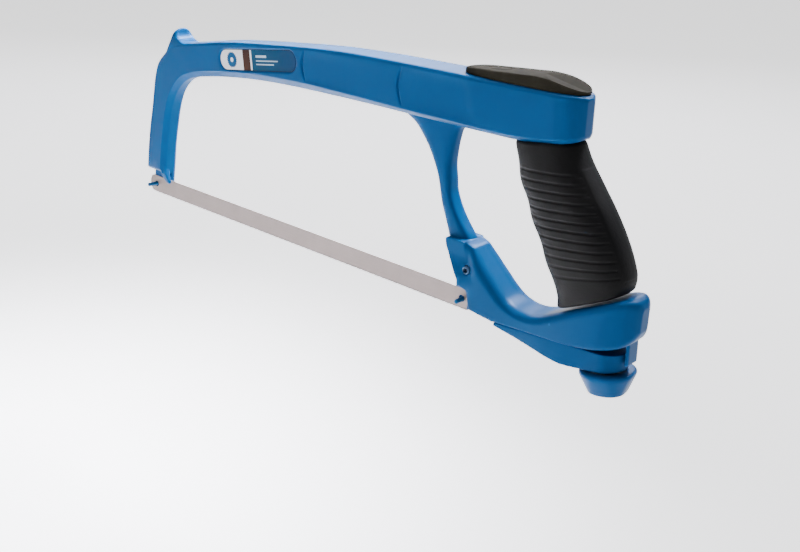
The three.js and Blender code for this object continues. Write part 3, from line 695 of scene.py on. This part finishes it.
def sculpt_frame(obj):
    """Label pockets, shallow side panels, and the bevel over the blade's seat."""
    p = coords(obj)
    x, y, z = p.T
    side = (np.abs(y) > bar_half(x) - 1.0) & (z > 98) & (x > 60) & (x < 330)
    press = LABEL_DEPTH * step(stadium(x, z, *LABEL_LINE, LABEL_RADIUS + 0.8), 0.35)
    for left, right, middle, reach, bow in PANELS:
        before, past, level = panel(x, z, left, right, middle, reach, bow)
        fade = np.clip((right - x) / (right - left), 0, 1) ** 0.6 if right < 250 else step(past, 4.0)
        groove = np.exp(-((before + 0.6) / 0.5) ** 2) * (1 - level**2)
        press = np.maximum(press, 0.5 * fade * step(before, 0.3) * (1 - level**4) + groove)
    y = np.where(side, np.sign(y) * (np.abs(y) - press), y)
    thin = step(22.5 - z, 8.0) * step(z - 60.0, 2.0) * step(x - 313.0, 5.0) * step(286.0 - x, 1.0)
    over = np.maximum(np.abs(y) - 7.6, 0.0)
    y = np.sign(y) * (np.abs(y) - 0.68 * over * thin)
    bevel = (y < 0) & (z > 11) & (z < 15.8) & (x < 15.5)
    y = np.where(bevel, np.maximum(y, -7.0 + np.clip(15.6 - z, 0, 2.6) * 0.9), y)
    p[:, 1] = y
    set_coords(obj, p)


shade(build_frame(), BLUE, "frame_body", ["frame"])


# ---- rubber
# [front x, z, rear x, z, half width] of the grip, top to bottom.
GRIP_ROWS = [
    (331.5, 103.2, 370, 108.6, 12.4), (333, 96, 374.5, 99.4, 13.6), (337, 84, 382.5, 88, 14.9),
    (343, 71, 391.5, 76, 15.5), (350, 57, 400, 63, 15.6), (357, 44, 405.6, 52, 15.4),
    (363, 32, 408.2, 44.5, 15), (367, 22.5, 408, 40.6, 14.7), (367.5, 18.2, 407.4, 37.4, 14.5),
]


def build_grip():
    """Oval sleeve with finger swells in front and grooves across its flanks."""
    rows = spline(GRIP_ROWS, 260)
    columns = 200
    rings = np.array([oval_ring(r[:2], r[2:4], r[4], columns, 0.8) for r in rows])
    height = np.linspace(0, 1, len(rows))[:, None]
    angle = (2 * np.pi * (np.arange(columns) + 0.5) / columns)[None, :]
    centre = rings.mean(axis=1, keepdims=True)
    outward = rings - centre
    outward /= np.linalg.norm(outward, axis=2, keepdims=True)
    front = np.clip(-np.cos(angle), 0, 1)
    flank = np.clip(np.abs(np.sin(angle)) * 1.25 - 0.25, 0, 1)
    fingers = 0.55 * front**2 * np.cos(2 * np.pi * (height * 4.0 - 0.05))
    window = np.clip(1 - np.abs(height - 0.5) / 0.36, 0, 1) ** 0.25 * (np.abs(height - 0.5) < 0.36)
    grooves = -0.55 * window * (flank > 0.35) * np.clip(np.cos(2 * np.pi * height * 17) * 2.2 - 0.9, 0, 1)
    spine = 0.35 * step(np.abs(np.angle(np.exp(1j * angle))) - 0.42, 0.06) * window
    ends = -1.2 * np.clip(1 - height / 0.02, 0, 1) ** 2 - 1.2 * np.clip(1 - (1 - height) / 0.02, 0, 1) ** 2
    rings += outward * (fingers - 0.55 + grooves + spine + ends)[..., None]
    return loft("rubber_grip_sleeve", rings)


def cut_to_frame(obj, lift):
    """Trims the grip's ends to the block above and the base below."""
    above = loft("tool_above", [beam_ring(r, 1.6) for r in spline(BEAM, 120)[60:]])
    below = loft("tool_below", [base_ring(r) for r in spline(BASE, 120)])
    for tool, way in ((above, -lift), (below, lift)):
        tool.location.z = way * MM
    boolean(obj, above, below)
    remove(above, below)
    return obj


grip = cut_to_frame(build_grip(), 0.1)
shade(grip, GRIP, "frame_body", ["rubber_grip"], angle=50)

# [x, half width, height of the flat top] of the thumb pad, front to rear.
PAD_ROWS = [
    (293.5, 0.9, 1.3), (294.3, 2.7, 2.1), (296, 4.5, 2.7), (299, 6.4, 3.2), (304, 8, 3.7),
    (312, 9.5, 4.2), (322, 10.2, 4.8), (334, 10.4, 5.5), (343.5, 10.4, 6.1), (350, 10.2, 5.9),
    (357, 9.8, 5.2), (363, 8.6, 4.4), (367.4, 6.5, 3.6), (369.8, 3.9, 2.7), (370.6, 1.7, 1.7),
]


def build_pad():
    """Flat-topped pad whose rear third is cut to one big sloping facet with a crest."""
    rings = []
    seat = 132.52
    for x, half, height in spline(PAD_ROWS, 240):
        half, height = max(half, 0.5), max(height, 0.9)
        edge = min(0.6 + 1.3 * max(0.0, min(1.0, (338.0 - x) / 26.0)), height * 0.4, half * 0.4)
        side = [(half * 0.985, 0.0), (half, 0.3), (half, height * 0.35), (half * 0.985, height - edge)]
        side += [(half * 0.985 - edge * (1 - math.cos(a)), height - edge + edge * math.sin(a))
                 for a in np.linspace(0.3, math.pi / 2, 5)]
        inner = half * 0.985 - edge
        flat = [(inner * s, height + 0.25 * (1 - s * s)) for s in np.linspace(0.92, -0.92, 36)]
        ring = side + flat + [(-y, z) for y, z in reversed(side)]
        rings.append([(x, y, seat + z) for y, z in ring])
    pad = loft("thumb_pad_moulding", rings)
    p = coords(pad)
    x, y = p[:, 0], np.abs(p[:, 1])
    height = p[:, 2] - seat
    facet = 6.35 - 0.205 * np.maximum(x - (344.0 + 0.62 * y), -40.0)
    crest = (height > 1.2) & (facet < height)
    p[:, 2] = seat + np.where(crest, np.maximum(facet, 1.2), height)
    d = np.hypot((x - 316) / 7.2, y / 4.2) - 1
    p[:, 2] -= (height > 2.4) * 0.25 * step(np.abs(d) - 0.10, 0.05)
    set_coords(pad, p)
    return pad


shade(build_pad(), PAD, "frame_body", ["thumb_pad"], angle=24)


# ---- labels
def label_side(sign):
    """Printed film in the pocket: white end with a toothed-wheel emblem, stripe, blue field, over a dark
    sheet of painted shadow around its edge.
    """
    x0, z0, x1, z1 = LABEL_LINE
    length = math.hypot(x1 - x0, z1 - z0)
    ux, uz = (x1 - x0) / length, (z1 - z0) / length

    def place(u, v, lift):
        x, z = x0 + ux * u - uz * v, z0 + uz * u + ux * v
        return (x, sign * (float(bar_half(x)) - LABEL_DEPTH + lift), z)

    def region(u0, u1, lift, inset=0.0):
        verts, faces, steps = [], [], 60
        us = np.linspace(u0, u1, steps)
        radius = LABEL_RADIUS - inset
        for u in us:
            over = max(0.0, -u, u - length) * radius / LABEL_RADIUS
            u = u if 0 <= u <= length else (-over if u < 0 else length + over)
            v = math.sqrt(max(radius**2 - over**2, 0.0))
            verts += [place(u, -v, lift), place(u, v, lift)]
        for i in range(steps - 1):
            faces.append((2 * i, 2 * i + 2, 2 * i + 3, 2 * i + 1))
        return verts, faces

    def disc(u, radius, lift, teeth, depth, count):
        verts = []
        for i in range(count):
            a = 2 * math.pi * i / count
            r = radius - depth * (((a * teeth) / (2 * math.pi)) % 1.0)
            verts.append(place(u + r * math.cos(a), r * math.sin(a), lift))
        return verts, [tuple(range(count))]

    def strip(u0, u1, v0, v1, lift):
        corners = ((u0, v0), (u1, v0), (u1, v1), (u0, v1))
        return [place(u, v, lift) for u, v in corners], [(0, 1, 2, 3)]

    flip = sign > 0

    def mirror(u):
        return length - u if flip else u

    def span(a, b):
        return (mirror(b), mirror(a)) if flip else (a, b)

    end = length + 6.39
    field = BLUE_FILM_FAR if flip else BLUE_FILM
    prints_and_pocket_shadow = [
        # Painted shadow: a dark sheet a little wider than the film, standing in for the shade in the pocket's
        # gap.
        ("rim", region(-6.39, end, 0.06, -0.45), POCKET_SHADOW_FILM),
        ("film", region(-6.38, end - 0.01, 0.16), field),
        ("white", region(*span(-6.37, 17.2), 0.27), WHITE_FILM),
        ("stripe", region(*span(17.2, 24.6), 0.27), BROWN_FILM),
        ("line", region(*span(24.6, 26.2), 0.27), WHITE_FILM),
        ("wheel", disc(mirror(5.6), 5.3, 0.30, 20, 0.8, 160), EMBLEM_FILM),
        ("hub", disc(mirror(5.6), 1.5, 0.33, 0, 0.0, 96), WHITE_FILM),
    ]
    for k, (a, b, v) in enumerate(((30.5, 41.0, 2.4), (30.5, 52.0, -0.4), (30.5, 48.0, -2.6))):
        u0, u1 = span(a, b)
        height = 0.75 if k == 0 else 0.35
        prints_and_pocket_shadow.append((f"rule{k}", strip(u0, u1, v - height, v + height, 0.31), PALE_FILM))
    made = []
    for name, (verts, faces), material in prints_and_pocket_shadow:
        piece = new_object(f"label_{name}", verts, faces, closed=False)
        piece.data.materials.append(material)
        thick = piece.modifiers.new("film", "SOLIDIFY")
        thick.thickness = 0.00016 if name == "film" else 0.00002
        thick.offset = 0.0
        made.append(evaluated(piece))
    return made


WHITE_FILM = film("film_white", [(0.86, 0.87, 0.90), (0.82, 0.84, 0.88)])
BROWN_FILM = film("film_brown", [(0.045, 0.017, 0.010), (0.032, 0.012, 0.008)], "Z")
FIELD = [(0.002, 0.060, 0.115), (0.001, 0.045, 0.100), (0.0005, 0.030, 0.090)]
BLUE_FILM = film("film_blue", FIELD, places=(0.0, 0.55, 1.0))
BLUE_FILM_FAR = film("film_blue_far", FIELD[::-1], places=(0.0, 0.45, 1.0))
EMBLEM_FILM = film("film_emblem", [(0.002, 0.075, 0.20), (0.001, 0.055, 0.16)], "Z")
# Painted shadow for the gap between the label and its pocket.
POCKET_SHADOW_FILM = film("film_rim", [(0.003, 0.012, 0.025), (0.004, 0.016, 0.03)], "Z")
PALE_FILM = film("film_pale", [(0.42, 0.55, 0.66), (0.50, 0.60, 0.70)])

for sign, word in ((-1, "left"), (1, "right")):
    for piece in label_side(sign):
        part = piece.name.split(".")[0].replace("label_", "")
        piece.name = f"label_{word}_{part}_print"
        for polygon in piece.data.polygons:
            polygon.use_smooth = False
        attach(piece, "frame_body")
        if part == "film":
            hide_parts(f"label_{word}")


# ---- blade
def build_blade():
    """Thin plate with two holes and raked teeth, set in a wave along the lower edge."""
    pitch = 25.4 / 24
    half, tooth = 6.35, 0.62
    x0, x1, corner = -6.9, 306.9, 4.2
    bottom = []
    count = int((x1 - x0 - 2 * corner) / pitch)
    start = x0 + corner
    for i in range(count):
        x = start + i * pitch
        bottom += [(x, -half + tooth), (x + pitch * 0.30, -half + tooth * 0.9), (x + pitch * 0.86, -half),
                   (x + pitch * 0.95, -half + 0.05)]
    shape = bottom + [(x1 - corner, -half + 0.1)]
    for a in np.linspace(-math.pi / 2, math.pi / 2, 20)[1:-1]:
        shape.append((x1 - corner + corner * math.cos(a), (half - 0.1) * math.sin(a)))
    shape += [(x, half) for x in np.linspace(x1 - corner, x0 + corner, 60)]
    for a in np.linspace(math.pi / 2, 3 * math.pi / 2, 20)[1:-1]:
        shape.append((x0 + corner + corner * math.cos(a), (half - 0.1) * math.sin(a)))
    curve = bpy.data.curves.new("blade_outline", "CURVE")
    curve.dimensions = "2D"
    curve.fill_mode = "BOTH"
    curve.extrude = 0.28 * MM
    curve.bevel_depth = 0.035 * MM
    curve.bevel_resolution = 1
    loops = [shape]
    hole_radius = 2.27
    for x in (0.65, 299.35):
        loops.append([(x + hole_radius * math.cos(a), hole_radius * math.sin(a)) for a in around(40)])
    for loop in loops:
        line = curve.splines.new("POLY")
        line.points.add(len(loop) - 1)
        line.use_cyclic_u = True
        for point, (x, z) in zip(line.points, loop):
            point.co = ((x - CENTRE[0]) * MM, (z - CENTRE[2]) * MM, 0.0, 1.0)
    draft = placed("blade_draft", curve)
    mesh = baked(draft)
    bpy.data.objects.remove(draft)
    bpy.data.curves.remove(curve)
    mesh.transform(Matrix.Rotation(math.pi / 2, 4, "X"))
    blade = placed("hacksaw_blade", mesh)
    p = coords(blade)
    low = np.clip((-5.6 - p[:, 2]) / 0.7, 0, 1)
    inside = (p[:, 0] > x0 + corner) & (p[:, 0] < x1 - corner)
    p[:, 1] += 0.2 * low * inside * np.sin(2 * np.pi * p[:, 0] / (5 * pitch))
    set_coords(blade, p)
    return blade


shade(build_blade(), BLADE_STEEL, "blade_body", ["blade"], smooth=False)


# ---- pins
def blade_pin(name, x, lean, body, node):
    """Leaning pin that holds one end of the blade."""
    shift, far, near = math.tan(math.radians(lean)), 6.1, -6.95
    pin = rod(name, (x + shift * far, far, 0), (x + shift * near, near, 0), PIN_RADIUS, 40, 0.55)
    shade(pin, PIN_BLUE, body, [node], angle=60)


blade_pin("front_pin_peg", 0, FRONT_LEAN, "frame_body", "front_blade_pin")
blade_pin("rear_pin_peg", REAR_PIN_X, REAR_LEAN, "lever_body", "rear_blade_pin")


def spun(name, axes, profile, angles, closed):
    """A closed profile of (distance, radius) swept about an axis; an open sweep gets end faces."""
    start, way, _, side, other = axes
    verts = [start + way * s + r * (math.cos(a) * side + math.sin(a) * other)
             for a in angles for s, r in profile]
    rows, turns = len(profile), len(angles)
    faces = []
    for i in range(turns if closed else turns - 1):
        m = (i + 1) % turns
        for k in range(rows):
            j = (k + 1) % rows
            faces.append((i * rows + k, i * rows + j, m * rows + j, m * rows + k))
    if not closed:
        last = (turns - 1) * rows
        faces += [tuple(range(rows)), tuple(range(last, last + rows))]
    return new_object(name, verts, faces)


def rolled(name, start, end, outer, wall, slit, turn):
    """Spring pin: a sheet rolled into a tube, its slit left open, its ends chamfered."""
    axes, chamfer = axes_of(start, end), 0.5
    length = axes[2]
    half_gap = slit / (2 * outer)
    angles = np.linspace(half_gap, 2 * math.pi - half_gap, 48) + turn
    profile = [(0.0, outer - wall), (0.0, outer - 0.45), (chamfer, outer), (length - chamfer, outer),
               (length, outer - 0.45), (length, outer - wall)]
    return spun(name, axes, profile, angles, False)


pivot_pin = rolled("pivot_roll_pin", at_pivot(-11.5), at_pivot(11.5), 2.4, 0.8, 0.9, 2.4)
shade(pivot_pin, PIN_BLUE, "frame_body", ["lever_pivot_pin"], angle=35)


def ring_solid(name, start, end, outer, inner, edge=0.12, sides=64):
    """Washer or sleeve with broken edges."""
    axes = axes_of(start, end, 0.2, (0.0, 1.0, 0.0))
    length = axes[2]
    profile = [(0, inner + edge), (0, outer - edge), (edge, outer), (length - edge, outer),
               (length, outer - edge), (length, inner + edge), (length - edge, inner), (edge, inner)]
    return spun(name, axes, profile, around(sides), True)


for sign, word in ((-1, "left"), (1, "right")):
    shim = ring_solid(f"shim_{word}_ring", at_pivot(sign * 6.3), at_pivot(sign * 7.0), 6.0, 2.7)
    shade(shim, PLATED, "frame_body", [f"pivot_shim_{word}"], angle=30)
bush = ring_solid("bushing_sleeve", at_pivot(-HUB_HALF), at_pivot(HUB_HALF), 4.0, 2.7, 0.3)
shade(bush, BRONZE, "lever_body", ["pivot_bushing"], angle=30)


# ---- lever
def build_lever():
    """Rib with the blade's seat, bushed hub, and the flange that ends in the round tongue."""
    rib_shape = outline(
        (296.4, -5.6, 1.5), (296.4, 5, 3), (299.6, 10.5, 4), (302.2, 16, 4), (303.4, 21, 0),
        (309, 17.4, 0), (316, 21.6, 0), (324, 14.6, 4), (331, 9.4, 4), (338, 5.2, 4), (345, 4.6, 3),
        (352, 4.6, 0), (386.6, 5.2, 1.5), (386.6, -8, 0), (372, -8, 0), (331.6, -2.4, 0),
        (331.6, -1.8, 0), (312, 1.6, 3), (306.4, -5.6, 1.5),
    )
    rib = plate("rib", rib_shape, -LEVER_HALF, LEVER_HALF, 0.8)
    under = spline([(331.6, -2.9), (340, -4.1), (350, -5.6), (362, -7.5), (371, -8.95), (377, -9.55),
                    (384, -9.1), (392, -8), (399.3, -7), (412, -5.2)], 90)
    over = [(412, 4.4), (392, 3.3), (376, 2.65), (368, 2.05), (360, 1.35), (352, 0.65), (345, 0.05),
            (338, -0.45), (331.6, -0.85)]
    flange = plate("flange", np.array(list(map(tuple, under)) + over), -14, 14)
    angles = np.linspace(-math.pi / 2, math.pi / 2, 48)
    near = spline([(320, -12), (340, -12), (352, -12.3), (365, -13.1), (378, -13.0), (388, -12.1),
                   (TONGUE_X, -TONGUE_RADIUS)], 40).tolist()
    plan = near + [(TONGUE_X + TONGUE_RADIUS * math.cos(a), TONGUE_RADIUS * math.sin(a))
                   for a in angles[1:-1]]
    plan += [(x, -y) for x, y in reversed(near)]
    rounded = loft("tool_plan", [[(x, y, z) for x, y in plan] for z in (-30, 30)])
    boolean(flange, rounded, operation="INTERSECT")
    remove(rounded)
    hub = rod("hub", at_pivot(-HUB_HALF), at_pivot(HUB_HALF), HUB_RADIUS, 64)
    cuts = [
        rod("tool_a", at_pivot(HUB_HALF), at_pivot(9), HUB_RADIUS + 0.6, 64),
        rod("tool_b", at_pivot(-9), at_pivot(-HUB_HALF), HUB_RADIUS + 0.6, 64),
    ]
    boolean(rib, *cuts)
    seat_shape = outline((286, -12, 0), (308.6, -12, 0), (308.6, 9.8, 1), (286, 9.8, 0))
    seat = plate("tool_seat", seat_shape, -12, SEAT_FACE)
    bore = rod("tool_bore", at_pivot(-12), at_pivot(12), 4.1, 64)
    slot = rod("tool_slot", along(-8), along(20), 3.9, 48)
    shift = math.tan(math.radians(REAR_LEAN))
    pin = rod("tool_pin", (REAR_PIN_X + shift * 6.5, 6.5, 0), (REAR_PIN_X - shift * 10, -10, 0), 1.6, 32)
    boolean(rib, seat, bore, pin)
    boolean(hub, bore)
    boolean(flange, slot)
    remove(seat, bore, slot, pin, *cuts)
    lever = join("lever_casting", [rib, flange, hub])
    return thinned(cast(lever, 0.42, 4))


shade(build_lever(), BLUE, "lever_body", ["tension_lever"])


# ---- screw, nut and knob
KNOB_TOP, KNOB_BOTTOM, KNOB_HEIGHT = -1.4, -14.2, 13.2
RIM_RADIUS, FOOT_RADIUS, RIM_DEPTH, KNOB_TURN = 14.9, 11.0, 2.9, math.radians(10)


def build_knob():
    """Cone with a rounded rim, four flats that deepen towards its foot and a domed foot face."""
    profile = [(3.4, KNOB_TOP - 0.9), (4.2, KNOB_TOP - 0.2), (13.6, KNOB_TOP), (14.6, KNOB_TOP - 0.25),
               (15.15, KNOB_TOP - 0.9), (15.2, KNOB_TOP - 1.9), (RIM_RADIUS, KNOB_TOP - RIM_DEPTH)]
    for s in np.linspace(0.06, 1, 26):
        fall = (KNOB_HEIGHT - RIM_DEPTH - 1.1) * s
        profile.append((RIM_RADIUS - (RIM_RADIUS - FOOT_RADIUS) * s, KNOB_TOP - RIM_DEPTH - fall))
    profile += [(10.7, KNOB_BOTTOM + 0.5), (10.0, KNOB_BOTTOM + 0.1), (8.4, KNOB_BOTTOM), (4.3, KNOB_BOTTOM),
                (3.5, KNOB_BOTTOM + 0.7)]
    columns = 240
    verts = []
    for radius, distance in profile:
        depth = np.clip((KNOB_TOP - 2.0 - distance) / (KNOB_HEIGHT - 2.0), 0, 1)
        for i in range(columns):
            a = 2 * math.pi * i / columns
            away = ((a - KNOB_TURN + math.pi / 4) % (math.pi / 2)) - math.pi / 4
            wall = radius
            if radius > 8:
                flat, soft = (15.4 - 5.7 * depth) / math.cos(away), 0.8
                blend = -soft * math.log(math.exp(-flat / soft) + math.exp(-radius / soft))
                wall = min(blend + 0.12, radius)
            verts.append(on_axis(wall, a, distance))
    count = len(profile)
    faces = grid_faces(count, columns)
    for i in range(columns):
        j = (i + 1) % columns
        faces.append(((count - 1) * columns + i, (count - 1) * columns + j, j, i))
    return new_object("knob_cone", verts, faces)


shade(build_knob(), BLUE, "knob_body", ["tension_knob"], angle=55)


def build_screw():
    """Threaded rod: a helical 60 degree thread, plain where the knob is fixed."""
    pitch, radius, depth = 1.25, 2.98, 0.62
    low, high, plain = -10.6, 30.0, -1.0
    columns = 40
    steps = int((high - low) / (pitch / 10)) + 1
    verts = []
    for r in range(steps):
        for c in range(columns):
            a = 2 * math.pi * c / columns
            s = min(low + r * pitch / 10, high)
            phase = ((s / pitch) - a / (2 * math.pi)) % 1.0
            tooth = min(1.0, max(0.0, abs(phase - 0.5) * 2.5 - 0.12))
            taper = min(1.0, max(0.0, (s - plain) / 1.0))
            end = max(0.0, 0.8 - (high - s)) + max(0.0, 0.5 - (s - low))
            verts.append(on_axis(radius - depth * (1 - tooth) * taper - end * 0.7, a, s))
    faces = grid_faces(steps, columns)
    faces += [tuple(range(columns)), tuple(range((steps - 1) * columns, steps * columns))]
    return new_object("screw_thread", verts, faces)


shade(build_screw(), PLATED, "knob_body", ["tension_screw"], angle=40)
washer = ring_solid("washer_ring", along(-1.1), along(-0.3), 7.5, 3.5, 0.15, 80)
shade(washer, PLATED, "washer_body", ["thrust_washer"], angle=30)

lock = along(KNOB_TOP - 6.4)
lock_pin = rolled("lock_roll_pin", (lock[0], -8.9, lock[2]), (lock[0], 8.9, lock[2]), 1.2, 0.4, 0.5, 1.0)
shade(lock_pin, PLATED, "knob_body", ["knob_lock_pin"], angle=35)


def build_nut():
    """Barrel nut with the screw's bore across it and a driver slot in its far end."""
    body = rod("barrel_nut_turned", at_nut(-6.95), at_nut(11.95), NUT_RADIUS, 72, 0.5)
    bore = rod("tool_bore", along(NUT_ALONG - 9), along(NUT_ALONG + 9), 3.15, 48)
    x, _, z = at_nut(0)
    slot = [(x + 3.8 * right, z + 0.6 * up, 0.3) for right, up in ((-1, -1), (1, -1), (1, 1), (-1, 1))]
    driver = plate("tool_driver", outline(*slot), 10.8, 14)
    boolean(body, bore, driver)
    remove(bore, driver)
    return body


shade(build_nut(), PLATED, "nut_body", ["barrel_nut"], angle=35)


# ---- floor, light, camera
def floor_material():
    material, tree, bsdf = new_material("floor_pale", {
        "Roughness": 0.75, "Specular IOR Level": 0.2, "Emission Color": grey(1.0), "Emission Strength": 1.35,
    })
    cloud = noise_at(tree, 3.0, 4.0)
    tone = ramp(tree, cloud, [(0.3, rgb(0.83, 0.83, 0.84)), (0.7, rgb(0.86, 0.86, 0.865))])
    tree.links.new(tone, bsdf.inputs["Base Color"])
    return material


def build_floor():
    size, height = 30.0, -0.26
    mesh = bpy.data.meshes.new("floor")
    corners = [(x * size, y * size, height) for x, y in ((-1, -1), (1, -1), (1, 1), (-1, 1))]
    mesh.from_pydata(corners, [], [(0, 1, 2, 3)])
    floor = placed("floor", mesh)
    floor.data.materials.append(floor_material())


def area_light(name, place, target, size, power, colour=(1, 1, 1), spread=180.0):
    data = bpy.data.lights.new(name, "AREA")
    data.shape = "RECTANGLE"
    data.size, data.size_y = size
    data.energy = power
    data.color = colour
    data.spread = math.radians(spread)
    light = placed(name, data)
    light.location = place
    way = Vector(target) - Vector(place)
    light.rotation_euler = way.to_track_quat("-Z", "Y").to_euler()


def build_world():
    """Studio surround: bright behind the saw, dimmer on the viewer's side."""
    world = bpy.data.worlds.new("studio")
    world.use_nodes = True
    tree = world.node_tree
    background = tree.nodes["Background"]
    where = add(tree, "TexCoord")
    along_view = add(tree, "VectorMath", operation="DOT_PRODUCT")
    along_view.inputs[1].default_value = (-0.66, 0.74, 0.10)
    tree.links.new(where.outputs["Generated"], along_view.inputs[0])
    tones = [(0.0, rgb(0.16, 0.165, 0.175)), (0.55, rgb(0.28, 0.29, 0.32)), (0.9, rgb(1.0, 1.0, 1.06))]
    sky = ramp(tree, along_view.outputs["Value"], tones)
    split = add(tree, "SeparateXYZ")
    tree.links.new(where.outputs["Generated"], split.inputs["Vector"])
    horizon = ramp(tree, split.outputs["Z"], [(0.06, rgb(1.02, 1.02, 1.03)), (0.20, grey(0))])
    lighter = mix(tree, 1.0, sky, horizon, "LIGHTEN")
    tree.links.new(lighter, background.inputs["Color"])
    background.inputs["Strength"].default_value = 0.8
    bpy.context.scene.world = world


def build_camera():
    """View along the saw from behind its handle; right, up and back are the camera's own axes."""
    right = Vector((0.7389, 0.6729, 0.0358))
    up = Vector((-0.2795, 0.2577, 0.9249))
    back = Vector((0.6131, -0.6934, 0.3785))
    data = bpy.data.cameras.new("camera")
    data.sensor_width = 36.0
    data.lens = 46.78
    data.clip_start, data.clip_end = 0.02, 90.0
    camera = placed("camera", data)
    turn = Matrix((right, up, back)).transposed().to_4x4()
    place = Vector((0.6416, -0.4423, 0.2407)) - Vector(CENTRE * MM)
    camera.matrix_world = Matrix.Translation(place) @ turn
    bpy.context.scene.camera = camera


build_floor()
build_world()
area_light("overhead", (-0.1, 0.15, 1.5), (0.0, 0.0, 0.0), (1.6, 1.2), 30, (0.98, 0.98, 1.0))
area_light("behind", (-1.05, 1.15, 0.68), (0.0, 0.0, 0.0), (1.5, 0.42), 20, (0.90, 0.90, 1.0))
area_light("horn_fill", (-0.05, 0.40, 0.60), (-0.165, 0.0, 0.06), (0.5, 0.45), 9, (0.93, 0.93, 1.0), 40.0)
area_light("front_left", (-1.1, -1.2, 1.1), (0.0, 0.0, 0.0), (0.9, 0.9), 8)
build_camera()
